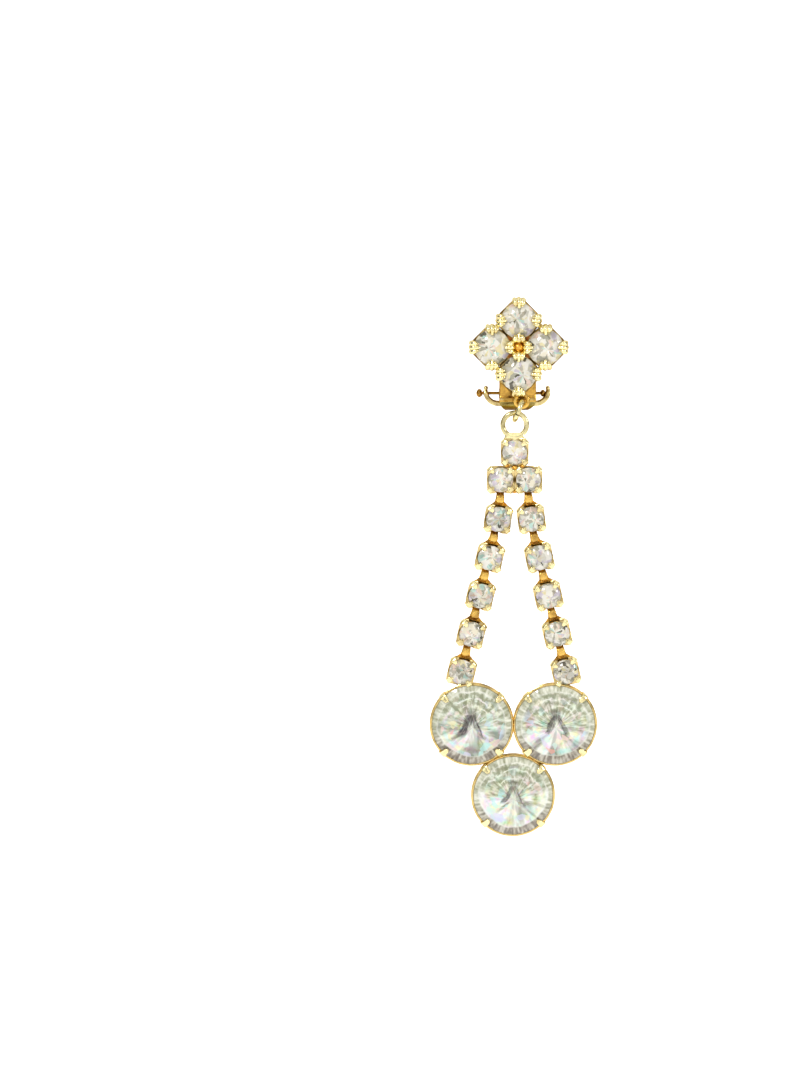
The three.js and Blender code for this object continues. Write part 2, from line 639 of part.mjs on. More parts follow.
// One large round claw setting about its own centre, its back at z = 0.
function rivoliSetting() {
  const inner = rivoliOuter - RIVOLI_WALL;
  const wall = turned(
    [
      [RIVOLI_BACK_R - RIVOLI_LEDGE, 0],
      [RIVOLI_BACK_R, 0],
      [rivoliOuter, RIVOLI_FLARE],
      [rivoliOuter, RIVOLI_CUP_DEPTH],
      [inner, RIVOLI_CUP_DEPTH],
      [inner, RIVOLI_FLARE + RIVOLI_SEAT],
      [RIVOLI_BACK_R - RIVOLI_LEDGE / 2, RIVOLI_LEDGE_THICK],
      [RIVOLI_BACK_R - RIVOLI_LEDGE, RIVOLI_LEDGE_THICK],
    ],
    RIVOLI_SIDES,
  );
  const bodies = [wall];
  const girdle = rivoliGirdle + RIVOLI_GIRDLE;
  const rimR = RIVOLI_R - RIVOLI_RIM;
  const rimSlope = RIVOLI_RIM_RISE / RIVOLI_RIM;
  const tipR = RIVOLI_R - RIVOLI_CLAW_REACH;
  const over = rimR - tipR;
  const coneSlope = (RIVOLI_CROWN - RIVOLI_RIM_RISE) / (rimR - RIVOLI_TABLE_R);
  const lift = RIVOLI_TIP_LIFT * STONE_GAP;
  const tip = girdle + RIVOLI_RIM * rimSlope + over * coneSlope + lift;
  const outline = [
    [inner, RIVOLI_CUP_DEPTH - RIVOLI_CLAW_ROOT],
    [rivoliOuter + RIVOLI_CLAW_PROUD, RIVOLI_CUP_DEPTH - RIVOLI_CLAW_LOW],
    [rivoliOuter + RIVOLI_CLAW_PROUD, girdle + RIVOLI_CLAW_BEND],
    [RIVOLI_R - RIVOLI_CLAW_EASE, girdle + RIVOLI_CLAW_THICK + RIVOLI_CLAW_BEND],
    [tipR, tip + RIVOLI_CLAW_THICK * RIVOLI_TIP_SHARE],
    [tipR, tip],
    [RIVOLI_R, girdle + lift],
    [inner, girdle + RIVOLI_CLAW_EASE],
  ];
  for (let i = 0; i < 4; i++) {
    bodies.push(claw(outline, RIVOLI_CLAW_WIDE, ((2 * i + 1) * Math.PI) / 4));
  }
  return joined(bodies.map(solid));
}

// The three large settings with the last cup of each chain, which leaves the large stones their room.
function trioFrame() {
  const setting = rivoliSetting();
  const bodies = Object.values(trioPlaces).map(([x, y]) => setting.translate([x, y, trioBack]));
  const inner = rivoliOuter - RIVOLI_WALL;
  const tall = ROOM_DEPTHS * RIVOLI_CUP_DEPTH;
  const room = new THREE.CylinderGeometry(inner, inner, tall, RIVOLI_SIDES).rotateX(Math.PI / 2);
  for (const [name, place] of Object.entries(lastCups)) {
    const turn = THREE.MathUtils.radToDeg(place.lean);
    const [x, y] = trioPlaces[name];
    const stoneRoom = solid(room).translate([x, y, trioBack]);
    const whole = cup(true, false).rotate([0, 0, turn]).translate([place.x, place.y, cupBack]);
    bodies.push(whole.subtract(stoneRoom));
  }
  return shapeOf(joined(bodies));
}

const face = new THREE.Group();
face.rotation.x = Math.PI / 2;

// Adds a named mesh to the earring.
function add(name, geometry, finish, place = [0, 0, 0], turn = 0) {
  const mesh = new THREE.Mesh(geometry, new THREE.MeshStandardMaterial(finish));
  mesh.name = name;
  mesh.position.set(...place);
  mesh.rotation.z = turn;
  face.add(mesh);
}

function addCluster() {
  add("cluster_frame", clusterFrame(), gold);
  for (const [name, [x, y]] of Object.entries(clusterPlaces)) {
    const stone = chaton(CLUSTER_STONE_R, CLUSTER_CROWN, CLUSTER_PAVILION, CLUSTER_GIRDLE);
    add(`cluster_stone_${name}`, stone, crystal, [x, y, clusterGirdle]);
  }
  add("clip_lever", clipLever(), gold);
  add("jump_ring", jumpRing(), gold);
}

function cupStone() {
  return chaton(cupStoneR, CUP_CROWN, CUP_PAVILION, CUP_GIRDLE);
}

function addDrop() {
  const drop = [-jumpSide, 0, 0];
  const shifted = (x, y, z) => [x + drop[0], y, z];
  add("head_frame", headFrame(), gold, drop);
  add("head_stone_top", cupStone(), crystal, shifted(0, headTopY, cupBack + cupGirdle));
  for (const [name, places] of Object.entries(chains)) {
    places.forEach((place, i) => {
      const stonePlace = shifted(place.x, place.y, cupBack + cupGirdle);
      const stoneName = i === 0 ? `head_stone_${name}` : `${name}_stone_${i}`;
      add(stoneName, cupStone(), crystal, stonePlace, place.lean);
      if (i > 0) {
        add(`${name}_link_${i}`, link(places[i - 1], place), amberGold, drop);
      }
      if (i > 0 && i < lastCup) {
        const cupPlace = shifted(place.x, place.y, cupBack);
        add(`${name}_cup_${i}`, shapeOf(cup(true, true)), gold, cupPlace, place.lean);
      }
    });
  }
  add("trio_frame", trioFrame(), gold, drop);
  for (const [name, [x, y]] of Object.entries(trioPlaces)) {
    add(`trio_stone_${name}`, rivoli(), crystal, shifted(x, y, trioBack + rivoliGirdle));
  }
}

addCluster();
addDrop();

const earring = new THREE.Group();
earring.add(face);

export default earring;
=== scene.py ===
"""Looks of the chandelier clip earring: fine meshes, finishes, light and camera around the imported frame.

Pieces are drawn in face millimetres: x to the right, y up and z out towards the viewer.
Their places come from the boxes of the frame's nodes.
"""

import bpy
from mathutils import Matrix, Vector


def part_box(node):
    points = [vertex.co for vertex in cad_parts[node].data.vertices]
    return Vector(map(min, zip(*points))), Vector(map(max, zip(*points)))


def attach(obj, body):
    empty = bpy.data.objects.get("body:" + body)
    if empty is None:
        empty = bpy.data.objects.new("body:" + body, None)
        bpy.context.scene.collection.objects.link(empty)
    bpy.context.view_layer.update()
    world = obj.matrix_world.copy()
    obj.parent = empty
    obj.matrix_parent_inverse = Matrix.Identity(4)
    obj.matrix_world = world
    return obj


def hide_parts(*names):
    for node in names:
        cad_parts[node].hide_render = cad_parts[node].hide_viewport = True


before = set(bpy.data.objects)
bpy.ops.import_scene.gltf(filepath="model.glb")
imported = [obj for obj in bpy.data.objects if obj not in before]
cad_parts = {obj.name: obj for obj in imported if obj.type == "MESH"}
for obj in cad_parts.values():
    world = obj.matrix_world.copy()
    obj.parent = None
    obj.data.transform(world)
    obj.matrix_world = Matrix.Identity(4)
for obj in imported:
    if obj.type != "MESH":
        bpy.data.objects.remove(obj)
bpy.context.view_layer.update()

import logging
import math
import random
from collections.abc import Iterable, Sequence
from dataclasses import dataclass, field
from enum import Enum

import bmesh
import bpy
from mathutils import Matrix, Vector

log = logging.getLogger("earring")

Colour = tuple[float, float, float]
Pair = tuple[float, float]
Legs = tuple[tuple[float, float, float], ...]
Stops = tuple[tuple[float, Colour], ...]

MM = 0.001
SHARP_ANGLE = math.radians(36)
MERGE_DISTANCE = 1e-7


class Slot(Enum):
    """Names of the record's material slots, one for each kind of piece."""

    SETTING = "setting_gold"
    CLIP = "clip_gold"
    LINK = "link_gold"
    WIRE = "wire_gold"
    SMALL_STONE = "small_stone"
    LARGE_STONE = "large_stone"


class Side(Enum):
    """The two chains, as seen from the front."""

    LEFT = "left"
    RIGHT = "right"


def face_to_frame(point: Vector) -> Vector:
    """Turns face millimetres into the frame's metres."""
    return Vector((point.x, -point.z, point.y)) * MM


def frame_to_face(point: Vector) -> Vector:
    """Turns the frame's metres into face millimetres."""
    return Vector((point.x, point.z, -point.y)) / MM


@dataclass(frozen=True)
class NodeBox:
    """The box of a frame node in face millimetres."""

    low: Vector
    high: Vector

    @classmethod
    def of(cls, node: str) -> "NodeBox":
        """Reads the box of a node.

        Args:
            node: The node's name.

        Returns:
            Its box, with the lowest and highest corner.
        """
        corners = [frame_to_face(corner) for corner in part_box(node)]
        low = Vector([min(corner[i] for corner in corners) for i in range(3)])
        high = Vector([max(corner[i] for corner in corners) for i in range(3)])
        return cls(low, high)

    @property
    def middle(self) -> Vector:
        """The middle of the box."""
        return (self.low + self.high) / 2

    @property
    def size(self) -> Vector:
        """The three lengths of the box."""
        return self.high - self.low


def turn_about_z(angle: float) -> Matrix:
    """A turn in the plane of the face."""
    return Matrix.Rotation(angle, 4, "Z")


def at(x: float, y: float, z: float, turn: float = 0.0) -> Matrix:
    """A place on the face.

    Args:
        x: Millimetres to the right.
        y: Millimetres up.
        z: Millimetres towards the viewer.
        turn: Turn in the plane of the face, in radians.

    Returns:
        The matrix that puts a draft there.
    """
    return Matrix.Translation((x, y, z)) @ turn_about_z(turn)


@dataclass
class Draft:
    """Points and faces in face millimetres, before they become the mesh of a piece."""

    points: list[Vector] = field(default_factory=list)
    faces: list[tuple[int, ...]] = field(default_factory=list)
    finishes: list[bpy.types.Material] = field(default_factory=list)
    smooth: list[bool] = field(default_factory=list)
    local: list[Vector] = field(default_factory=list)

    def add(
        self,
        points: Iterable[Vector],
        faces: Iterable[tuple[int, ...]],
        finish: bpy.types.Material,
        smooth: bool = True,
    ) -> "Draft":
        """Adds points and faces.

        Args:
            points: The new points.
            faces: Faces that count from the first new point.
            finish: The material of the new faces.
            smooth: Whether they are shaded smooth.

        Returns:
            The draft itself.
        """
        start = len(self.points)
        self.points.extend(Vector(point) for point in points)
        self.local.extend(point.copy() for point in self.points[start:])
        for face in faces:
            self.faces.append(tuple(start + i for i in face))
            self.finishes.append(finish)
            self.smooth.append(smooth)
        return self

    def take(self, other: "Draft", place: Matrix = Matrix.Identity(4)) -> "Draft":
        """Adds a copy of another draft at a place.

        Args:
            other: The draft to copy.
            place: Where it goes.

        Returns:
            The draft itself.
        """
        start = len(self.points)
        self.points.extend(place @ point for point in other.points)
        self.local.extend(other.local)
        self.faces.extend(tuple(start + i for i in face) for face in other.faces)
        self.finishes.extend(other.finishes)
        self.smooth.extend(other.smooth)
        return self

    def mesh(self, name: str, to_frame: bool) -> bpy.types.Mesh:
        """Makes a mesh.

        Args:
            name: The mesh's name.
            to_frame: Whether the points go to the frame's metres or stay face millimetres.

        Returns:
            The new mesh, with one material slot for each finish.
        """
        mesh = bpy.data.meshes.new(name)
        points = [face_to_frame(point) if to_frame else point for point in self.points]
        mesh.from_pydata(points, [], self.faces)
        names = list(dict.fromkeys(finish.name for finish in self.finishes))
        for finish_name in names:
            mesh.materials.append(bpy.data.materials[finish_name])
        mesh.polygons.foreach_set("material_index", [names.index(finish.name) for finish in self.finishes])
        mesh.polygons.foreach_set("use_smooth", self.smooth)
        local = mesh.attributes.new("local", "FLOAT_VECTOR", "POINT")
        local.data.foreach_set("vector", [value for point in self.local for value in point])
        return mesh

    @classmethod
    def from_mesh(cls, mesh: bpy.types.Mesh) -> "Draft":
        """Reads a mesh in face millimetres back into a draft."""
        points = [vertex.co.copy() for vertex in mesh.vertices]
        draft = cls(points=points, local=[point.copy() for point in points])
        for polygon in mesh.polygons:
            draft.faces.append(tuple(polygon.vertices))
            draft.finishes.append(mesh.materials[polygon.material_index])
            draft.smooth.append(polygon.use_smooth)
        return draft

    def piece(self, name: str, body: str, slot: Slot, nodes: Sequence[str] = ()) -> bpy.types.Object:
        """Makes the finished piece and ties it to the frame.

        Args:
            name: The piece's name.
            body: The frame's body that it rides on.
            slot: The record's slot for its finish; not used.
            nodes: The frame's nodes that it replaces.

        Returns:
            The piece's object, at the origin.
        """
        mesh = self.mesh(name, to_frame=True)
        shape = bmesh.new()
        shape.from_mesh(mesh)
        bmesh.ops.remove_doubles(shape, verts=shape.verts, dist=MERGE_DISTANCE)
        bmesh.ops.recalc_face_normals(shape, faces=shape.faces)
        shape.to_mesh(mesh)
        shape.free()
        mesh.set_sharp_from_angle(angle=SHARP_ANGLE)
        draw = random.Random(name)
        facet = mesh.attributes.new("facet", "FLOAT", "FACE")
        facet.data.foreach_set("value", [draw.random() for _ in mesh.polygons])
        seed = mesh.attributes.new("seed", "FLOAT", "FACE")
        seed.data.foreach_set("value", [draw.random()] * len(mesh.polygons))
        piece = bpy.data.objects.new(name, mesh)
        bpy.context.scene.collection.objects.link(piece)
        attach(piece, body)
        if nodes:
            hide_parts(*nodes)
        log.info("%s: %d faces on %s", name, len(mesh.polygons), body)
        return piece


class Graph:
    """Adds nodes to a tree and links them."""

    def __init__(self, tree: bpy.types.NodeTree) -> None:
        """Keeps the tree, with its own nodes cleared."""
        self.tree = tree
        tree.nodes.clear()

    def add(
        self, kind: str, inputs: dict[str | int, object] | None = None, **settings: object
    ) -> bpy.types.Node:
        """Adds a node.

        Args:
            kind: The node's type name.
            inputs: Values or sockets for its inputs, by name or place.
            settings: Properties of the node.

        Returns:
            The new node.
        """
        node = self.tree.nodes.new(kind)
        for name, value in settings.items():
            setattr(node, name, value)
        for key, value in (inputs or {}).items():
            if isinstance(value, bpy.types.NodeSocket):
                self.tree.links.new(value, node.inputs[key])
            else:
                node.inputs[key].default_value = value
        return node

    def math(self, operation: str, *values: object, clamp: bool = False) -> bpy.types.NodeSocket:
        """Adds a sum or other operation and returns its result."""
        node = self.add("ShaderNodeMath", dict(enumerate(values)), operation=operation, use_clamp=clamp)
        return node.outputs[0]

    def vector(self, operation: str, inputs: dict[int, object]) -> bpy.types.NodeSocket:
        """Adds a vector operation and returns its result."""
        node = self.add("ShaderNodeVectorMath", inputs, operation=operation)
        return node.outputs["Value" if operation == "LENGTH" else "Vector"]

    def mix(
        self, factor: object, first: object, second: object, blend: str = "MIX"
    ) -> bpy.types.NodeSocket:
        """Mixes two colours.

        Args:
            factor: How much of the second colour shows.
            first: A colour or socket.
            second: A colour or socket.
            blend: The way of mixing.

        Returns:
            The mixed colour's socket.
        """
        def full(value: object) -> object:
            return (*value, 1.0) if isinstance(value, tuple) and len(value) == 3 else value

        inputs = {0: factor, 6: full(first), 7: full(second)}
        return self.add("ShaderNodeMix", inputs, data_type="RGBA", blend_type=blend).outputs[2]

    def ramp(
        self, factor: object, stops: Sequence[tuple[float, Colour]], steps: bool = False
    ) -> bpy.types.NodeSocket:
        """Turns a number into a colour.

        Args:
            factor: The number's socket.
            stops: Places from 0 to 1, each with its colour.
            steps: Whether the colour jumps from stop to stop.

        Returns:
            The colour's socket.
        """
        node = self.add("ShaderNodeValToRGB", {"Fac": factor})
        node.color_ramp.interpolation = "CONSTANT" if steps else "LINEAR"
        elements = node.color_ramp.elements
        while len(elements) < len(stops):
            elements.new(1.0)
        for element, (place, colour) in zip(elements, stops):
            element.position = place
            element.color = (*colour, 1.0)
        return node.outputs["Color"]

    def between(
        self, value: object, start: float, end: float, low: float = 0.0, high: float = 1.0
    ) -> bpy.types.NodeSocket:
        """Maps a number from one range to another and keeps it there."""
        inputs = {"Value": value, "From Min": start, "From Max": end, "To Min": low, "To Max": high}
        return self.add("ShaderNodeMapRange", inputs, clamp=True).outputs["Result"]

    def noise(self, vector: object, scale: float, detail: float = 2.0) -> bpy.types.NodeSocket:
        """Adds a noise pattern and returns its value."""
        inputs = {"Vector": vector, "Scale": scale, "Detail": detail}
        return self.add("ShaderNodeTexNoise", inputs).outputs[0]


def new_material(name: str) -> tuple[bpy.types.Material, Graph, bpy.types.Node]:
    """Makes a material with one Principled shader.

    Args:
        name: The material's name.

    Returns:
        The material, its graph and its shader node.
    """
    material = bpy.data.materials.new(name)
    material.use_nodes = True
    graph = Graph(material.node_tree)
    shader = graph.add("ShaderNodeBsdfPrincipled")
    graph.add("ShaderNodeOutputMaterial", {"Surface": shader.outputs[0]})
    return material, graph, shader


@dataclass(frozen=True)
class GoldFinish:
    """Gold-tone plating with painted shade: pale where it stands forward, darkening to amber towards its
    recesses and back.
    """

    name: str
    # bright is the plating where it stands forward; deep is the painted shade colour, reached towards the
    # back between the heights front and back.
    bright: Colour
    deep: Colour
    front: float
    back: float
    roughness: float = 0.2
    patch: float = 700.0
    grain: float = 5200.0
    blotch: float = 0.45
    dent: float = 0.3
    edge: Colour = (0.3, 0.2, 0.06)

    def material(self) -> bpy.types.Material:
        """Builds the plating's material."""
        material, graph, shader = new_material(self.name)
        place = graph.add("ShaderNodeTexCoord").outputs["Object"]
        depth = graph.add("ShaderNodeSeparateXYZ", {0: place}).outputs["Y"]
        # Painted shade: the colour darkens from bright to deep the further back the surface lies, standing in
        # for shade in recesses.
        painted_recess_shade = graph.between(depth, -self.front * MM, -self.back * MM)
        patches = graph.noise(place, self.patch, 3.0)
        blotches = graph.between(patches, 0.34, 0.66, -self.blotch, self.blotch)
        share = graph.math("ADD", painted_recess_shade, blotches, clamp=True)
        colour = graph.mix(share, self.bright, self.deep)
        self.link(graph, shader, "Base Color", colour)
        grain = graph.noise(place, self.grain, 2.0)
        rough = graph.between(grain, 0.3, 0.7, self.roughness * 0.7, self.roughness * 1.4)
        self.link(graph, shader, "Roughness", rough)
        dents = graph.noise(place, self.patch * 2.4, 2.0)
        bump = graph.add("ShaderNodeBump", {"Strength": self.dent, "Distance": 0.00004, "Height": dents})
        self.link(graph, shader, "Normal", bump.outputs[0])
        shader.inputs["Metallic"].default_value = 1.0
        shader.inputs["Specular Tint"].default_value = (*self.edge, 1.0)
        return material

    @staticmethod
    def link(graph: Graph, shader: bpy.types.Node, name: str, socket: bpy.types.NodeSocket) -> None:
        """Links a socket to one of the shader's inputs."""
        graph.tree.links.new(socket, shader.inputs[name])


@dataclass(frozen=True)
class StoneLook:
    """How clear and how mirror-like the face or the foil of a stone is."""

    metallic: float
    transmission: float
    roughness: float

    def apply(self, graph: Graph, shader: bpy.types.Node, colour: bpy.types.NodeSocket) -> None:
        """Sets the shader of a stone.

        Args:
            graph: The material's graph.
            shader: Its Principled shader.
            colour: The colour of its pattern.
        """
        graph.tree.links.new(colour, shader.inputs["Base Color"])
        shader.inputs["Metallic"].default_value = self.metallic
        shader.inputs["Transmission Weight"].default_value = self.transmission
        shader.inputs["Roughness"].default_value = self.roughness
        shader.inputs["IOR"].default_value = 1.56


CLEAR = StoneLook(0.0, 0.32, 0.02)
SILKY = StoneLook(0.0, 0.2, 0.03)
FOIL = StoneLook(0.8, 0.0, 0.14)

# Painted reflections of a small stone: its shards with their colour flashes, and how bright the painted light
# of each facet is.
PAINTED_SHARD_REFLECTIONS: Stops = (
    (0.0, (1.0, 1.0, 0.98)),
    (0.23, (0.5, 0.5, 0.43)),
    (0.31, (0.98, 0.94, 0.8)),
    (0.44, (0.74, 0.69, 0.87)),
    (0.51, (1.0, 1.0, 0.98)),
    (0.68, (0.14, 0.13, 0.1)),
    (0.73, (0.6, 0.88, 0.85)),
    (0.78, (0.97, 0.77, 0.69)),
    (0.85, (0.6, 0.57, 0.5)),
    (0.93, (0.96, 0.88, 0.56)),
)
PAINTED_FACET_LIGHT: Stops = ((0.0, (0.56, 0.56, 0.52)), (0.4, (0.94, 0.94, 0.92)), (0.8, (1.0, 1.0, 1.0)))

# Painted reflections of a large stone: its darker upper half and paler lower half, its rim's pleats below and
# above, and its colour flashes.
UPPER_HALF: Stops = ((0.1, (0.34, 0.36, 0.24)), (0.5, (0.58, 0.6, 0.45)), (0.9, (0.86, 0.88, 0.75)))
LOWER_HALF: Stops = ((0.1, (0.33, 0.34, 0.27)), (0.42, (0.66, 0.68, 0.58)), (0.72, (0.97, 0.98, 0.93)))
LOW_PLEATS: Stops = ((0.1, (0.14, 0.11, 0.08)), (0.45, (0.31, 0.26, 0.2)), (0.9, (0.68, 0.64, 0.53)))
HIGH_PLEATS: Stops = ((0.1, (0.36, 0.37, 0.24)), (0.5, (0.62, 0.63, 0.47)), (0.9, (0.93, 0.93, 0.8)))
PAINTED_FLASH_HUES: Stops = (
    (0.0, (0.5, 0.92, 0.9)),
    (0.26, (0.74, 0.72, 0.96)),
    (0.42, (0.97, 0.68, 0.62)),
    (0.52, (0.98, 0.88, 0.5)),
    (0.64, (0.66, 0.96, 0.82)),
    (0.78, (0.6, 0.82, 0.98)),
    (0.92, (0.97, 0.42, 0.36)),
)

# Slope, length and half width of each leg of a large stone's painted dark tent reflection, and how dark the
# tent is.
PAINTED_TENT_REFLECTIONS: dict[str, tuple[Legs, float]] = {
    "left": (((-0.55, 0.62, 0.13), (0.38, 0.66, 0.09)), 1.0),
    "right": (((-0.42, 0.52, 0.09), (0.55, 0.6, 0.09)), 0.9),
    "bottom": (((-0.6, 0.5, 0.08), (0.42, 0.62, 0.08)), 0.8),
}


@dataclass(frozen=True)
class ShardCrystal:
    """A small foiled stone with painted reflections: pale shards, each facet painted lighter or darker, and a
    few painted coloured flashes.
    """

    name: str
    radius: float
    look: StoneLook
    around: float = 15.0
    along: float = 2.7
    shift: float = 0.22
    shift_speeds: Pair = (23.0, 41.0)
    cast: Colour = (0.99, 0.96, 0.89)

    def material(self) -> bpy.types.Material:
        """Builds the stone's material."""
        material, graph, shader = new_material(self.name)
        local = graph.add("ShaderNodeAttribute", attribute_name="local").outputs["Vector"]
        facet = graph.add("ShaderNodeAttribute", attribute_name="facet").outputs["Fac"]
        seed = graph.add("ShaderNodeAttribute", attribute_name="seed").outputs["Fac"]
        unit = graph.vector("SCALE", {0: local, 3: 1.0 / self.radius})
        split = graph.add("ShaderNodeSeparateXYZ", {0: unit})
        shifts = [graph.math("SINE", graph.math("MULTIPLY", seed, speed)) for speed in self.shift_speeds]
        across, up = (
            graph.math("MULTIPLY_ADD", shift, self.shift, split.outputs[axis])
            for shift, axis in zip(shifts, "XY")
        )
        plane = graph.add("ShaderNodeCombineXYZ", {0: across, 1: up}).outputs[0]
        reach = graph.vector("LENGTH", {0: plane})
        angle = graph.math("ARCTAN2", up, across)
        deep = graph.math("MULTIPLY", seed, 40.0)
        wobble = graph.between(graph.noise(plane, 3.5), 0.3, 0.7, -0.5, 0.5)
        polar = graph.add(
            "ShaderNodeCombineXYZ",
            {
                0: graph.math("MULTIPLY_ADD", angle, self.around / (2 * math.pi), wobble),
                1: graph.math("MULTIPLY_ADD", reach, self.along, wobble),
                2: deep,
            },
        )
        cells = graph.add("ShaderNodeTexVoronoi", {"Vector": polar.outputs[0], "Scale": 1.0})
        parts = graph.add("ShaderNodeSeparateColor", {0: cells.outputs["Color"]})
        # Painted reflections: pale, grey and dark shards with colour flashes, and each facet painted lighter
        # or darker by its own number.
        shards = graph.ramp(parts.outputs[0], PAINTED_SHARD_REFLECTIONS, steps=True)
        light = graph.ramp(facet, PAINTED_FACET_LIGHT)
        colour = graph.mix(1.0, shards, light, "MULTIPLY")
        colour = graph.mix(1.0, colour, self.cast, "MULTIPLY")
        self.look.apply(graph, shader, colour)
        return material


@dataclass(frozen=True)
class SunburstCrystal:
    """A large pointed stone with painted reflections: streaks and arcs, a dark tent under the point, colour
    flashes and a pleated rim.
    """

    name: str
    radius: float
    seed: float
    look: StoneLook
    legs: Legs
    shade: float
    tint: float = 1.5

    def material(self) -> bpy.types.Material:
        """Builds the stone's material."""
        material, graph, shader = new_material(self.name)
        local = graph.add("ShaderNodeAttribute", attribute_name="local").outputs["Vector"]
        unit = graph.vector("SCALE", {0: local, 3: 1.0 / self.radius})
        split = graph.add("ShaderNodeSeparateXYZ", {0: unit})
        across, up = split.outputs["X"], split.outputs["Y"]
        flat = graph.add("ShaderNodeCombineXYZ", {0: across, 1: up, 2: self.seed}).outputs[0]
        plane = graph.add("ShaderNodeCombineXYZ", {0: across, 1: up}).outputs[0]
        reach = graph.vector("LENGTH", {0: plane})
        angle = graph.math("ARCTAN2", up, across)
        streaks = self._streaks(graph, plane, reach, 9.0)
        fans = self._streaks(graph, plane, reach, 2.6)
        # Painted reflections: a darker olive upper half and a paler lower half, blended across the middle.
        upper = graph.ramp(streaks, UPPER_HALF)
        lower = graph.ramp(fans, LOWER_HALF)
        wobble = graph.between(graph.noise(flat, 3.0, 3.0), 0.3, 0.7, -0.25, 0.25)
        height = graph.between(graph.math("ADD", up, wobble), -0.12, 0.12)
        colour = graph.mix(height, lower, upper)
        colour = self._arcs(graph, colour, flat, reach, up)
        colour = self._painted_flashes(graph, colour, angle, reach, up)
        colour = self._rim(graph, colour, angle, reach, up, streaks, wobble)
        colour = self._painted_tent(graph, colour, across, up, flat)
        self.look.apply(graph, shader, colour)
        return material

    def _streaks(self, graph: Graph, plane: object, reach: object, scale: float) -> bpy.types.NodeSocket:
        """Rays of light and shade that run out from the point."""
        ray = graph.vector("NORMALIZE", {0: plane})
        height = graph.math("MULTIPLY_ADD", reach, 0.5, self.seed)
        lift = graph.add("ShaderNodeCombineXYZ", {2: height}).outputs[0]
        spread = graph.vector("ADD", {0: ray, 1: lift})
        return graph.between(graph.noise(spread, scale, 4.0), 0.34, 0.66)

    def _arcs(
        self, graph: Graph, colour: object, flat: object, reach: object, up: object
    ) -> bpy.types.NodeSocket:
        """Adds broken grey-green and cream arcs across the upper half, as painted reflections."""
        wobble = graph.between(graph.noise(flat, 3.6, 4.0), 0.3, 0.7, -2.2, 2.2)
        wave = graph.math("SINE", graph.math("MULTIPLY_ADD", reach, 34.0, wobble))
        broken = graph.between(graph.noise(flat, 9.0, 2.0), 0.35, 0.55)
        height = graph.math("MULTIPLY", graph.between(up, 0.1, 0.4), broken)
        share = graph.math("MULTIPLY", graph.between(wave, 0.1, 0.75), height)
        colour = graph.mix(graph.math("MULTIPLY", share, 0.75), colour, (0.3, 0.32, 0.2))
        light = graph.math("MULTIPLY", graph.between(wave, -0.55, -0.95), height)
        return graph.mix(graph.math("MULTIPLY", light, 0.85), colour, (0.97, 0.97, 0.88))

    def _painted_flashes(
        self, graph: Graph, colour: object, angle: object, reach: object, up: object
    ) -> bpy.types.NodeSocket:
        """Adds soft painted pastel light all over, and small painted shards of stronger colour below the
        middle, as colour flashes.
        """
        polar = graph.add(
            "ShaderNodeCombineXYZ",
            {0: graph.math("MULTIPLY", angle, 1.15), 1: graph.math("MULTIPLY", reach, 2.2), 2: self.seed},
        ).outputs[0]
        clouds = graph.add("ShaderNodeTexNoise", {"Vector": polar, "Scale": 2.3, "Detail": 2.0})
        centred = graph.vector("ADD", {0: clouds.outputs["Color"], 1: (-0.5, -0.5, -0.5)})
        strong = graph.vector("SCALE", {0: centred, 3: self.tint})
        tint = graph.vector("ADD", {0: strong, 1: (0.97, 0.97, 0.93)})
        tint = graph.vector("MINIMUM", {0: tint, 1: (1.0, 1.0, 1.0)})
        zone = graph.between(reach, 0.86, 0.76)
        low = graph.between(up, 0.45, 0.0, 0.3, 1.0)
        colour = graph.mix(graph.math("MULTIPLY", zone, low), colour, tint, "MULTIPLY")
        cells = graph.add("ShaderNodeTexVoronoi", {"Vector": polar, "Scale": 3.4})
        parts = graph.add("ShaderNodeSeparateColor", {0: cells.outputs["Color"]})
        hue = graph.ramp(parts.outputs[0], PAINTED_FLASH_HUES, steps=True)
        chosen = graph.between(parts.outputs[1], 0.72, 0.75)
        share = graph.math("MULTIPLY", graph.math("MULTIPLY", chosen, 0.6), graph.math("MULTIPLY", zone, low))
        inner = graph.between(reach, 0.1, 0.25)
        return graph.mix(graph.math("MULTIPLY", share, inner), colour, hue)

    def _rim(
        self,
        graph: Graph,
        colour: object,
        angle: object,
        reach: object,
        up: object,
        streaks: object,
        wobble: object,
    ) -> bpy.types.NodeSocket:
        """Adds the pleated rim's painted reflections: olive above, darker taupe below, with a pale painted
        highlight line inside it.
        """
        ridge = graph.between(graph.math("SINE", graph.math("MULTIPLY", angle, 61.0)), -1.0, 1.0)
        pleats = graph.math("MULTIPLY_ADD", streaks, 0.78, graph.math("MULTIPLY", ridge, 0.22))
        low = graph.ramp(pleats, LOW_PLEATS)
        high = graph.ramp(pleats, HIGH_PLEATS)
        band = graph.mix(graph.between(up, -0.55, -0.15), low, high)
        start = graph.between(up, -0.2, -0.7, 0.85, 0.76)
        inside = graph.math("SUBTRACT", graph.math("MULTIPLY_ADD", wobble, 0.12, reach), start)
        colour = graph.mix(graph.math("MULTIPLY", graph.between(inside, 0.0, 0.05), 0.9), colour, band)
        line = graph.between(graph.math("ABSOLUTE", graph.math("SUBTRACT", inside, 0.015)), 0.022, 0.008)
        return graph.mix(graph.math("MULTIPLY", line, 0.3), colour, (0.95, 0.94, 0.84))

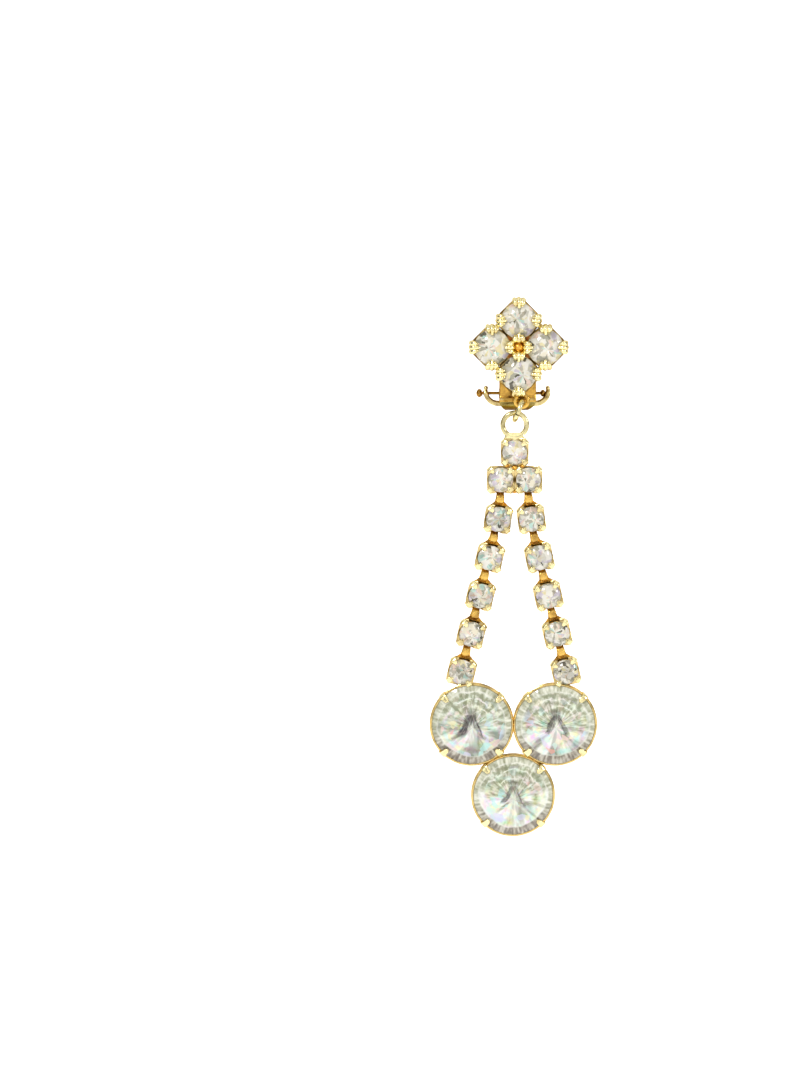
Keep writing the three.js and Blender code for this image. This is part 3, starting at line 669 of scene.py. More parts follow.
    def _painted_tent(
        self, graph: Graph, colour: object, across: object, up: object, flat: object
    ) -> bpy.types.NodeSocket:
        """Adds the painted dark reflection shaped as a tent that opens downwards from the point, with a dark
        patch above and painted light inside.
        """
        wobble = graph.between(graph.noise(flat, 6.0, 3.0), 0.3, 0.7, -0.035, 0.035)
        top = 0.33
        drop = graph.math("SUBTRACT", top, up)
        shares = []
        for slope, end, width in self.legs:
            off = graph.math("SUBTRACT", across, graph.math("MULTIPLY", drop, slope))
            off = graph.math("ABSOLUTE", graph.math("ADD", off, wobble))
            line = graph.between(off, width, width * 0.6)
            ending, starting = graph.between(drop, end, end * 0.85), graph.between(drop, -0.03, 0.04)
            reach = graph.math("MULTIPLY", ending, starting)
            shares.append(graph.math("MULTIPLY", line, reach))
        spot = graph.vector("ADD", {0: flat, 1: (0.0, -top, -self.seed)})
        spot_reach = graph.vector("LENGTH", {0: spot})
        patch = graph.between(graph.math("ADD", spot_reach, wobble), 0.16, 0.08, 0.0, 0.75)
        between = graph.math("ABSOLUTE", across)
        inside = graph.math("MULTIPLY", graph.between(between, 0.16, 0.1), graph.between(drop, 0.16, 0.3))
        inside = graph.math("MULTIPLY", inside, graph.between(drop, 0.95, 0.7))
        colour = graph.mix(graph.math("MULTIPLY", inside, 0.4), colour, (0.97, 0.97, 0.93))
        share = graph.math("MAXIMUM", graph.math("MAXIMUM", *shares), patch)
        away = graph.vector("NORMALIZE", {0: spot})
        fibres = graph.between(graph.noise(away, 8.0, 4.0), 0.34, 0.54, 0.5, 1.0)
        grain = graph.between(graph.noise(flat, 9.0, 3.0), 0.35, 0.55, 0.75, 1.0)
        share = graph.math("MULTIPLY", share, graph.math("MULTIPLY", grain, fibres))
        return graph.mix(graph.math("MULTIPLY", share, self.shade), colour, (0.06, 0.05, 0.055))


@dataclass(frozen=True)
class Finishes:
    """The materials that several sub-assemblies share."""

    setting: bpy.types.Material
    claw: bpy.types.Material
    strap: bpy.types.Material
    foot: bpy.types.Material
    link: bpy.types.Material
    wire: bpy.types.Material
    ear: bpy.types.Material
    rim: bpy.types.Material
    solder: bpy.types.Material
    web: bpy.types.Material
    chain_crystal: bpy.types.Material
    chain_foil: bpy.types.Material
    cluster_crystal: bpy.types.Material
    cluster_foil: bpy.types.Material
    lacquer: bpy.types.Material

    @classmethod
    def build(cls) -> "Finishes":
        """Builds each shared material once."""
        looks = {
            "setting": GoldFinish("plating_settings", (0.72, 0.55, 0.24), (0.2, 0.12, 0.03), 3.7, 2.3),
            "claw": GoldFinish("plating_claws", (0.97, 0.86, 0.46), (0.45, 0.27, 0.06), 3.7, 1.6, 0.16),
            "strap": GoldFinish("plating_clip", (0.7, 0.4, 0.08), (0.28, 0.14, 0.03), 1.0, -3.8, 0.18),
            # The foot's plating is a darker copy of the clip's, painted shade where it bends back away from
            # the light.
            "foot": GoldFinish("plating_foot_painted_shade", (0.34, 0.26, 0.08), (0.2, 0.15, 0.05), 0.6, -2.5, 0.3),
            "link": GoldFinish(
                "plating_links", (0.86, 0.54, 0.13), (0.38, 0.19, 0.04), 3.7, 1.8, 0.22, blotch=0.6
            ),
            "wire": GoldFinish("plating_wire", (0.84, 0.74, 0.4), (0.36, 0.28, 0.1), 4.3, 1.9, 0.18),
            "ear": GoldFinish(
                "plating_ears", (0.82, 0.66, 0.3), (0.3, 0.18, 0.05), -1.0, -4.4, 0.18, blotch=0.6
            ),
            "rim": GoldFinish("plating_rims", (0.85, 0.64, 0.26), (0.18, 0.12, 0.05), 3.9, 1.8, 0.2),
            "solder": GoldFinish("solder", (0.9, 0.5, 0.1), (0.6, 0.24, 0.03), 4.4, 1.8, 0.3, dent=0.6),
            # The web's dark brown plating is painted shade between the cluster's stones.
            "web": GoldFinish("web_painted_shade", (0.3, 0.1, 0.02), (0.12, 0.03, 0.01), 2.2, 1.0, 0.35),
            "chain_crystal": ShardCrystal("crystal_chain", 1.85, CLEAR),
            "chain_foil": ShardCrystal("foil_chain", 1.85, FOIL, 19.0, 2.4),
            "cluster_crystal": ShardCrystal("crystal_cluster", 2.67, CLEAR, 19.0, 3.6),
            "cluster_foil": ShardCrystal("foil_cluster", 2.67, FOIL, 22.0, 3.2),
            "lacquer": GoldFinish("back_lacquer", (0.6, 0.48, 0.24), (0.45, 0.34, 0.16), 4.0, 0.0, 0.4),
        }
        return cls(**{use: look.material() for use, look in looks.items()})


def new_tree(name: str, inputs: dict[str, str]) -> tuple[Graph, bpy.types.Node]:
    """Starts a geometry tree with named inputs.

    Args:
        name: The tree's name.
        inputs: The socket type of each input, by name.

    Returns:
        The tree's graph and its input node.
    """
    tree = bpy.data.node_groups.new(name, "GeometryNodeTree")
    tree.interface.new_socket("Geometry", in_out="OUTPUT", socket_type="NodeSocketGeometry")
    tree.interface.new_socket("Geometry", in_out="INPUT", socket_type="NodeSocketGeometry")
    for label, kind in inputs.items():
        tree.interface.new_socket(label, in_out="INPUT", socket_type=kind)
    tree.interface.new_socket("Material", in_out="INPUT", socket_type="NodeSocketMaterial")
    graph = Graph(tree)
    return graph, graph.add("NodeGroupInput")


def end_tree(graph: Graph, start: bpy.types.Node, shape: bpy.types.NodeSocket) -> bpy.types.NodeTree:
    """Ends a tree in real geometry with its material set.

    Args:
        graph: The tree's graph.
        start: The tree's input node.
        shape: The geometry so far.

    Returns:
        The finished tree.
    """
    real = graph.add("GeometryNodeRealizeInstances", {0: shape})
    done = {"Geometry": real.outputs[0], "Material": start.outputs["Material"]}
    graph.add("NodeGroupOutput", {0: graph.add("GeometryNodeSetMaterial", done).outputs[0]})
    return graph.tree


class Trees:
    """The geometry trees that make what follows a path or repeats."""

    def __init__(self) -> None:
        """Builds each tree once."""
        self.wire = self._wire()
        self.copies = self._copies()
        self.settings = self._settings()

    @staticmethod
    def _wire() -> bpy.types.NodeTree:
        """A round wire along the edges of the carrier, as thick as its attribute says."""
        graph, start = new_tree("wire_along_path", {"Sides": "NodeSocketInt"})
        curve = graph.add("GeometryNodeMeshToCurve", {0: start.outputs["Geometry"]})
        thick = graph.add("GeometryNodeInputNamedAttribute", {"Name": "thick"}, data_type="FLOAT")
        sized = {"Curve": curve.outputs[0], "Radius": thick.outputs[0]}
        path = graph.add("GeometryNodeSetCurveRadius", sized)
        round_wire = {"Resolution": start.outputs["Sides"], "Radius": 1.0}
        ring = graph.add("GeometryNodeCurvePrimitiveCircle", round_wire)
        swept = {"Curve": path.outputs[0], "Profile Curve": ring.outputs[0], "Fill Caps": True}
        tube = graph.add("GeometryNodeCurveToMesh", swept)
        if "Scale" in tube.inputs:
            graph.tree.links.new(thick.outputs[0], tube.inputs["Scale"])
        return end_tree(graph, start, tube.outputs[0])

    @staticmethod
    def _copies() -> bpy.types.NodeTree:
        """Copies of the carrier's mesh round the z axis."""
        inputs = {"Count": "NodeSocketInt", "Start Angle": "NodeSocketFloat"}
        graph, start = new_tree("copies_round_axis", inputs)
        spots = graph.add("GeometryNodePoints", {"Count": start.outputs["Count"]})
        index = graph.add("GeometryNodeInputIndex").outputs[0]
        step = graph.math("DIVIDE", 2 * math.pi, start.outputs["Count"])
        angle = graph.math("MULTIPLY_ADD", index, step, start.outputs["Start Angle"])
        turn = graph.add("ShaderNodeCombineXYZ", {2: angle})
        spin = graph.add("FunctionNodeEulerToRotation", {0: turn.outputs[0]})
        placed = {"Points": spots.outputs[0], "Instance": start.outputs["Geometry"]}
        placed["Rotation"] = spin.outputs[0]
        return end_tree(graph, start, graph.add("GeometryNodeInstanceOnPoints", placed).outputs[0])

    @staticmethod
    def _settings() -> bpy.types.NodeTree:
        """Copies of a template object on the carrier's points, for settings that are soldered in a group."""
        inputs = {"Template": "NodeSocketObject"}
        graph, start = new_tree("settings_on_points", inputs)
        template = graph.add("GeometryNodeObjectInfo", {"Object": start.outputs["Template"]})
        placed = {"Points": start.outputs["Geometry"], "Instance": template.outputs["Geometry"]}
        return end_tree(graph, start, graph.add("GeometryNodeInstanceOnPoints", placed).outputs[0])


def grow(tree: bpy.types.NodeTree, carrier_mesh: bpy.types.Mesh, values: dict[str, object]) -> Draft:
    """Runs a geometry tree on a carrier mesh.

    Args:
        tree: The geometry tree.
        carrier_mesh: The mesh that the tree starts from.
        values: The tree's inputs, by name.

    Returns:
        The result as a draft.
    """
    carrier = bpy.data.objects.new("carrier", carrier_mesh)
    modifier = carrier.modifiers.new("shape", "NODES")
    modifier.node_group = tree
    for item in tree.interface.items_tree:
        if item.in_out == "INPUT" and item.name in values:
            modifier[item.identifier] = values[item.name]
    bpy.context.scene.collection.objects.link(carrier)
    evaluated = carrier.evaluated_get(bpy.context.evaluated_depsgraph_get())
    mesh = bpy.data.meshes.new_from_object(evaluated)
    draft = Draft.from_mesh(mesh)
    carrier.modifiers.remove(modifier)
    bpy.data.objects.remove(carrier)
    bpy.data.meshes.remove(mesh)
    return draft


def path_mesh(points: Sequence[Vector], radii: Sequence[float], closed: bool) -> bpy.types.Mesh:
    """Makes a mesh of edges along a path, with the wire's radius at each point.

    Args:
        points: The path's points.
        radii: The wire's radius at each of them.
        closed: Whether the last point joins the first.

    Returns:
        The mesh of edges.
    """
    mesh = bpy.data.meshes.new("path")
    count = len(points)
    edges = [(i, (i + 1) % count) for i in range(count if closed else count - 1)]
    mesh.from_pydata(list(points), edges, [])
    thick = mesh.attributes.new("thick", "FLOAT", "POINT")
    thick.data.foreach_set("value", list(radii))
    return mesh


@dataclass(frozen=True)
class Workshop:
    """The trees and finishes, and the shapes that are made with them."""

    trees: Trees
    finishes: Finishes

    def wire(
        self,
        points: Sequence[Vector],
        radii: Sequence[float],
        finish: bpy.types.Material,
        closed: bool = False,
        sides: int = 16,
    ) -> Draft:
        """Draws a round wire along a path.

        Args:
            points: The path's points.
            radii: The wire's radius at each of them.
            finish: Its material.
            closed: Whether it is a ring.
            sides: How many sides the wire has.

        Returns:
            The wire's draft, shaded smooth.
        """
        mesh = path_mesh(points, radii, closed)
        draft = grow(self.trees.wire, mesh, {"Sides": sides, "Material": finish})
        draft.smooth = [True] * len(draft.faces)
        return draft

    def ring(
        self, radius: float, wire: float, finish: bpy.types.Material, steps: int = 72, opening: float = 0.0
    ) -> Draft:
        """Draws a wire ring in the plane of the face.

        Args:
            radius: Radius of the wire's middle line.
            wire: The wire's diameter.
            finish: Its material.
            steps: Points round the ring.
            opening: Angle of the cut where the ring's ends meet, or 0 for a whole ring.

        Returns:
            The ring's draft about its own centre.
        """
        sweep = 2 * math.pi - opening
        count = steps if not opening else steps + 1
        angles = [opening / 2 + sweep * i / steps for i in range(count)]
        points = [Vector((radius * math.cos(a), radius * math.sin(a), 0.0)) for a in angles]
        return self.wire(points, [wire / 2] * count, finish, closed=not opening)

    def round_copies(self, draft: Draft, count: int, start: float, finish: bpy.types.Material) -> Draft:
        """Repeats a draft round the z axis.

        Args:
            draft: What is repeated.
            count: How many copies.
            start: The first copy's angle.
            finish: Their material.

        Returns:
            The draft of all copies.
        """
        values = {"Count": count, "Start Angle": start, "Material": finish}
        return grow(self.trees.copies, draft.mesh("one_copy", to_frame=False), values)

    def on_points(self, draft: Draft, places: Sequence[Vector], finish: bpy.types.Material) -> Draft:
        """Repeats a draft at several places, upright.

        Args:
            draft: What is repeated.
            places: Where its middle goes.
            finish: Its material.

        Returns:
            The draft of all copies.
        """
        template = bpy.data.objects.new("template", draft.mesh("template", to_frame=False))
        mesh = bpy.data.meshes.new("places")
        mesh.from_pydata(list(places), [], [])
        result = grow(self.trees.settings, mesh, {"Template": template, "Material": finish})
        bpy.data.objects.remove(template)
        return result


def loft(rings: Sequence[Sequence[Vector]], finish: bpy.types.Material, smooth: bool = True) -> Draft:
    """Joins rings of points into a closed body.

    Args:
        rings: Rings with the same number of points.
        finish: The body's material.
        smooth: Whether it is shaded smooth.

    Returns:
        The body, closed at both ends.
    """
    count = len(rings[0])
    faces = [tuple(reversed(range(count)))]
    for row in range(len(rings) - 1):
        for i in range(count):
            j = (i + 1) % count
            faces.append((row * count + i, row * count + j, (row + 1) * count + j, (row + 1) * count + i))
    last = (len(rings) - 1) * count
    faces.append(tuple(last + i for i in range(count)))
    return Draft().add([point for ring in rings for point in ring], faces, finish, smooth)


def turned(profile: Sequence[Pair], sides: int, finish: bpy.types.Material) -> Draft:
    """Turns a closed outline about the z axis.

    Args:
        profile: Pairs of radius and height, which close on themselves.
        sides: How many steps the turn has.
        finish: The body's material.

    Returns:
        The ring-shaped body.
    """
    points: list[Vector] = []
    for i in range(sides):
        angle = 2 * math.pi * i / sides
        points.extend(Vector((r * math.cos(angle), r * math.sin(angle), z)) for r, z in profile)
    count = len(profile)
    faces = []
    for i in range(sides):
        for k in range(count):
            here, there = i * count, ((i + 1) % sides) * count
            m = (k + 1) % count
            faces.append((here + k, there + k, there + m, here + m))
    return Draft().add(points, faces, finish)


def round_section(half_wide: float, half_thick: float, corner_share: float = 0.6) -> list[Pair]:
    """Outline of a flat bar with round edges, as pairs across its width and its thickness."""
    corner = min(half_wide, half_thick) * corner_share
    points: list[Pair] = []
    steps = 3
    for quarter, (sx, sy) in enumerate(((1, 1), (-1, 1), (-1, -1), (1, -1))):
        for i in range(steps + 1):
            angle = (quarter + i / steps) * math.pi / 2
            x = sx * (half_wide - corner) + corner * math.cos(angle)
            y = sy * (half_thick - corner) + corner * math.sin(angle)
            points.append((x, y))
    return points


def ribbon(
    path: Sequence[Vector],
    across: Vector,
    wides: Sequence[float],
    thicks: Sequence[float],
    finish: bpy.types.Material,
) -> Draft:
    """Makes a flat bar with round edges along a path.

    Args:
        path: The bar's middle line.
        across: The direction of its width.
        wides: Its width at each point.
        thicks: Its thickness at each point.
        finish: Its material.

    Returns:
        The closed bar.
    """
    rings = []
    last = len(path) - 1
    for i, point in enumerate(path):
        along = (path[min(i + 1, last)] - path[max(i - 1, 0)]).normalized()
        side = (across - along * across.dot(along)).normalized()
        up = along.cross(side)
        section = round_section(wides[i] / 2, thicks[i] / 2)
        rings.append([point + side * u + up * v for u, v in section])
    return loft(rings, finish)


def blob(
    radii: tuple[float, float, float], finish: bpy.types.Material, rows: int = 8, sides: int = 14
) -> Draft:
    """Makes a rounded drop of metal about its own middle."""
    rings = []
    for row in range(rows + 1):
        angle = math.pi * (row / rows) * 0.96 + math.pi * 0.02
        r, z = math.sin(angle), -math.cos(angle)
        ring = []
        for i in range(sides):
            turn = 2 * math.pi * i / sides
            ring.append(Vector((radii[0] * r * math.cos(turn), radii[1] * r * math.sin(turn), radii[2] * z)))
        rings.append(ring)
    return loft(rings, finish)


def smooth_path(points: Sequence[Pair | tuple[float, float, float]], steps: int) -> list[Vector]:
    """Rounds a path of a few points.

    Args:
        points: The points that the path runs through.
        steps: Steps between two of them.

    Returns:
        Points along a smooth curve through all of them.
    """
    spots = [Vector((*point, 0.0)[:3]) if len(point) == 2 else Vector(point) for point in points]
    ends = [2 * spots[0] - spots[1], *spots, 2 * spots[-1] - spots[-2]]
    path = []
    for i in range(1, len(ends) - 2):
        before, here, there, after = ends[i - 1 : i + 3]
        for k in range(steps):
            t = k / steps
            bend = (2 * before - 5 * here + 4 * there - after) * t**2
            twist = (3 * here - before - 3 * there + after) * t**3
            path.append((2 * here + (there - before) * t + bend + twist) / 2)
    return [*path, spots[-1]]


def eased(values: Sequence[float], count: int) -> list[float]:
    """Spreads a few values evenly over more places.

    Args:
        values: The values at even steps.
        count: How many places there are.

    Returns:
        One value for each place.
    """
    spread = []
    for i in range(count):
        where = i / (count - 1) * (len(values) - 1)
        k = min(int(where), len(values) - 2)
        t = where - k
        t = t * t * (3 - 2 * t)
        spread.append(values[k] * (1 - t) + values[k + 1] * t)
    return spread


def square_outline(size: float, corner: float, steps: int) -> list[Pair]:
    """Points round a square with round corners, evenly along its sides and corners.

    Args:
        size: The square's side.
        corner: Radius of its corners.
        steps: Steps in each corner and in each side.

    Returns:
        The outline, which starts at the middle of the right side.
    """
    reach = size / 2 - corner
    points: list[Pair] = []
    for quarter in range(4):
        c, s = round(math.cos(quarter * math.pi / 2)), round(math.sin(quarter * math.pi / 2))
        local = [(size / 2, reach * i / steps) for i in range(steps)]
        for i in range(steps):
            angle = i / steps * math.pi / 2
            local.append((reach + corner * math.cos(angle), reach + corner * math.sin(angle)))
        local.extend((reach * (1 - i / steps), size / 2) for i in range(steps))
        points.extend((x * c - y * s, x * s + y * c) for x, y in local)
    return points


def fan(
    sides: int, inner: Pair, middle_radius: float, outer: Pair, finish: bpy.types.Material
) -> Draft:
    """Lays kite facets with the half facets beside them between two rings of a cut stone.

    Args:
        sides: How many kites there are.
        inner: Radius and height of the inner ring, or of a point where the radius is 0.
        middle_radius: Radius at which two kites meet.
        outer: Radius and height of the outer ring, which has twice as many corners.
        finish: The facets' material.

    Returns:
        The facets, shaded flat.
    """
    step = 2 * math.pi / sides
    slope = (inner[1] - outer[1]) / (outer[0] - inner[0])
    middle_height = inner[1] - (middle_radius * math.cos(step / 2) - inner[0]) * slope

    def ring(radius: float, height: float, count: int, shift: float) -> list[Vector]:
        angles = [(i + shift) * 2 * math.pi / count for i in range(count)]
        return [Vector((radius * math.cos(a), radius * math.sin(a), height)) for a in angles]

    pointed = inner[0] == 0
    points = ring(inner[0], inner[1], 1 if pointed else sides, 0.0)
    first = len(points)
    points += ring(middle_radius, middle_height, sides, 0.5)
    points += ring(outer[0], outer[1], 2 * sides, 0.0)
    rim = first + sides
    faces: list[tuple[int, ...]] = []
    for i in range(sides):
        top, top_next = (0, 0) if pointed else (i, (i + 1) % sides)
        here, before = first + i, first + (i - 1) % sides
        corner = rim + 2 * i
        after, last = rim + 2 * i + 1, rim + (2 * i + 2) % (2 * sides)
        faces.append((top, before, corner, here))
        faces.append((here, corner, after))
        faces.append((here, after, last))
        if not pointed:
            faces.append((top, here, top_next))
    return Draft().add(points, faces, finish, smooth=False)


def flat_cap(sides: int, radius: float, height: float, finish: bpy.types.Material) -> Draft:
    """The flat table of a cut stone."""
    angles = [i * 2 * math.pi / sides for i in range(sides)]
    points = [Vector((radius * math.cos(a), radius * math.sin(a), height)) for a in angles]
    return Draft().add(points, [tuple(range(sides))], finish, smooth=False)


def belt(sides: int, low: Pair, high: Pair, finish: bpy.types.Material) -> Draft:
    """A band of upright facets between two rings with the same corners."""
    points = []
    for radius, height in (low, high):
        angles = [i * 2 * math.pi / sides for i in range(sides)]
        points += [Vector((radius * math.cos(a), radius * math.sin(a), height)) for a in angles]
    faces = [(i, (i + 1) % sides, sides + (i + 1) % sides, sides + i) for i in range(sides)]
    return Draft().add(points, faces, finish, smooth=False)


@dataclass(frozen=True)
class FoilBack:
    """The foil and lacquer behind a stone, as a thin shell round its pavilion."""

    sunk: float = 0.03
    proud: float = 0.04
    lip: float = 0.02

    def draft(
        self,
        sides: int,
        radius: float,
        pavilion: float,
        middle_share: float,
        foil: bpy.types.Material,
        lacquer: bpy.types.Material,
    ) -> Draft:
        """Lays the shell.

        Args:
            sides: How many kites the pavilion has.
            radius: The stone's radius.
            pavilion: The pavilion's depth.
            middle_share: Where two kites meet, as a share of the radius.
            foil: Material of the inner face.
            lacquer: Material of the outer face.

        Returns:
            The closed shell.
        """
        shell = Draft()
        for offset, finish in ((-self.sunk, foil), (self.proud, lacquer)):
            r, deep = radius + offset, pavilion + offset
            shell.take(fan(sides, (0.0, -deep), r * middle_share, (r, self.lip), finish))
        rim = belt(2 * sides, (radius - self.sunk, self.lip), (radius + self.proud, self.lip), lacquer)
        return shell.take(rim)


@dataclass(frozen=True)
class BrilliantCut:
    """A round stone with a table, eight kites and their half facets in front and behind."""

    radius: float
    crown: float
    pavilion: float
    girdle: float
    table_share: float = 0.52
    crown_middle: float = 0.8
    pavilion_middle: float = 0.42
    sides: int = 8

    def draft(
        self, glass: bpy.types.Material, foil: bpy.types.Material, lacquer: bpy.types.Material
    ) -> Draft:
        """Cuts the stone, with its girdle's lower edge at z = 0."""
        table = self.radius * self.table_share
        top = self.girdle + self.crown
        stone = flat_cap(self.sides, table, top, glass)
        edge = (self.radius, self.girdle)
        stone.take(fan(self.sides, (table, top), self.radius * self.crown_middle, edge, glass))
        stone.take(belt(2 * self.sides, (self.radius, 0.0), (self.radius, self.girdle), glass))
        middle = self.radius * self.pavilion_middle
        stone.take(fan(self.sides, (0.0, -self.pavilion), middle, (self.radius, 0.0), glass))
        back = FoilBack().draft(self.sides, self.radius, self.pavilion, self.pavilion_middle, foil, lacquer)
        return stone.take(back)


@dataclass(frozen=True)
class PointedCut:
    """A large round stone that rises to a point, with pleated rim facets."""

    radius: float
    crown: float
    pavilion: float
    girdle: float
    rim: float
    rim_rise: float
    tip: float = 0.14
    crown_middle: float = 0.55
    pavilion_middle: float = 0.6
    sides: int = 16

    def draft(
        self, glass: bpy.types.Material, foil: bpy.types.Material, lacquer: bpy.types.Material
    ) -> Draft:
        """Cuts the stone, with its girdle's lower edge at z = 0."""
        top = self.girdle + self.crown
        shoulder = (self.radius - self.rim, self.girdle + self.rim_rise)
        stone = flat_cap(self.sides, self.tip, top, glass)
        stone.take(fan(self.sides, (self.tip, top), self.radius * self.crown_middle, shoulder, glass))
        stone.take(self._pleats(shoulder, glass))
        stone.take(belt(4 * self.sides, (self.radius, 0.0), (self.radius, self.girdle), glass))
        count = 2 * self.sides
        middle = self.radius * self.pavilion_middle
        stone.take(fan(count, (0.0, -self.pavilion), middle, (self.radius, 0.0), glass))
        back = FoilBack().draft(count, self.radius, self.pavilion, self.pavilion_middle, foil, lacquer)
        return stone.take(back)

    def _pleats(self, shoulder: Pair, glass: bpy.types.Material) -> Draft:
        """The narrow facets between the shoulder and the girdle."""
        few, many = 2 * self.sides, 4 * self.sides
        points = []
        for count, (radius, height) in ((few, shoulder), (many, (self.radius, self.girdle))):
            angles = [i * 2 * math.pi / count for i in range(count)]
            points += [Vector((radius * math.cos(a), radius * math.sin(a), height)) for a in angles]
        faces = []
        for i in range(few):
            j = (i + 1) % few
            low, mid, high = few + 2 * i, few + 2 * i + 1, few + (2 * i + 2) % many
            faces += [(i, low, mid), (i, mid, j), (j, mid, high)]
        return Draft().add(points, faces, glass, smooth=False)


@dataclass(frozen=True)
class SquareCup:
    """A small square claw cup of the head and the chains, about its own centre with its back at z = 0."""

    workshop: Workshop
    size: float = 4.25
    corner: float = 0.95
    base_size: float = 3.0
    wall: float = 0.2
    floor: float = 0.3
    rim_high: float = 2.08
    rim_low: float = 1.66
    seat_radius: float = 1.93
    seat_height: float = 1.86
    notch_low: float = 0.42
    notch_half: float = 0.8
    claw_out: float = 2.5
    claw_tip_radius: float = 1.55
    claw_tip_height: float = 2.44
    shoulder_long: float = 0.9

    def draft(self, notches: tuple[bool, bool], shoulder: bool) -> Draft:
        """Makes the cup.

        Args:
            notches: Whether a link leaves through the upper and the lower wall.
            shoulder: Whether the upper wall flares to the link's neck.

        Returns:
            The cup with its claws.
        """
        cup = loft(self._rings(notches), self.workshop.finishes.setting)
        cup.take(self._claws())
        if shoulder:
            cup.take(self._shoulder())
        return cup

    def _rings(self, notches: tuple[bool, bool]) -> list[list[Vector]]:
        """The cup's wall from its back up to the rim and down to its floor."""
        steps = 5
        outside = (
            (self.base_size - 0.5, 0.8, 0.0),
            (self.base_size, 0.9, 0.1),
            (self.size - 0.3, 1.0, 0.9),
            (self.size - 0.05, self.corner, None),
            (self.size, self.corner, None),
            (self.size - self.wall, self.corner, None),
        )
        lifts = (None, None, None, -0.12, -0.03, 0.03)
        rings = []
        for (size, corner, height), lift in zip(outside, lifts):
            ring = []
            for x, y in square_outline(size, corner, steps):
                top = self._rim(x, y, notches)
                ring.append(Vector((x, y, min(height, top) if lift is None else top + lift)))
            rings.append(ring)
        for share, height in ((1.0, self.seat_height), (0.93, 1.3), (0.7, self.floor)):
            ring = []
            for x, y in square_outline(self.size, self.corner, steps):
                reach = self.seat_radius * share / math.hypot(x, y)
                ring.append(Vector((x * reach, y * reach, min(height, self._rim(x, y, notches)))))
            rings.append(ring)
        return rings

    def _rim(self, x: float, y: float, notches: tuple[bool, bool]) -> float:
        """Height of the rim at a point of the outline: high at the corners, arched along the sides."""
        side = min(abs(x), abs(y)) / (self.size / 2 - self.corner * 0.3)
        arch = min(1.0, side) ** 2
        height = self.rim_low + (self.rim_high - self.rim_low) * arch
        wanted = notches[0] if y > 0 else notches[1]
        if wanted and abs(y) > abs(x) and abs(x) < self.notch_half:
            return self.notch_low
        return height

    def _claws(self) -> Draft:
        """Four small flat claws that bend over the stone from the corners."""
        path = smooth_path(
            (
                (self.claw_out - 0.1, 1.2),
                (self.claw_out + 0.02, 1.85),
                (self.claw_out - 0.1, 2.3),
                (self.claw_out - 0.42, 2.52),
                (self.claw_tip_radius, self.claw_tip_height),
            ),
            4,
        )
        spots = [Vector((point.x, 0.0, point.y)) for point in path]
        count = len(spots)
        wides = eased((0.7, 0.86, 0.9, 0.78, 0.4), count)
        thicks = eased((0.24, 0.28, 0.32, 0.3, 0.18), count)
        claw = ribbon(spots, Vector((0.0, 1.0, 0.0)), wides, thicks, self.workshop.finishes.claw)
        return self.workshop.round_copies(claw, 4, math.pi / 4, self.workshop.finishes.claw)

    def _shoulder(self) -> Draft:
        """The flare from the upper wall to the link's neck."""
        top = self.size / 2
        path = smooth_path(
            (
                (0.0, top + self.shoulder_long, 0.95),
                (0.0, top + self.shoulder_long * 0.55, 1.05),
                (0.0, top + self.shoulder_long * 0.2, 1.25),
                (0.0, top - 0.15, 1.5),
            ),
            3,
        )
        count = len(path)
        wides = eased((1.35, 1.5, 2.2, 3.1), count)
        return ribbon(path, Vector((1.0, 0.0, 0.0)), wides, [0.42] * count, self.workshop.finishes.link)


@dataclass(frozen=True)
class SmallStone:
    """A stone of the head or the chains."""

    workshop: Workshop
    extra_radius: float = 0.18
    pavilion: float = 1.45
    seat: float = 0.45
    girdle: float = 0.14
    crown: float = 0.62

    def build(self, name: str, node: str, cup_place: Matrix, turn: float) -> None:
        """Cuts the stone where its node is.

        Args:
            name: The piece's name.
            node: The frame's node that it replaces.
            cup_place: The place of its cup.
            turn: Its turn in the cup.
        """
        box = NodeBox.of(node)
        radius = min(box.size.x, box.size.y) / 2 + self.extra_radius
        cut = BrilliantCut(radius, self.crown, self.pavilion, self.girdle)
        finishes = self.workshop.finishes
        stone = cut.draft(finishes.chain_crystal, finishes.chain_foil, finishes.lacquer)
        place = cup_place @ at(0.0, 0.0, self.seat + self.pavilion, turn)
        Draft().take(stone, place).piece(name, "drop", Slot.SMALL_STONE, [node])


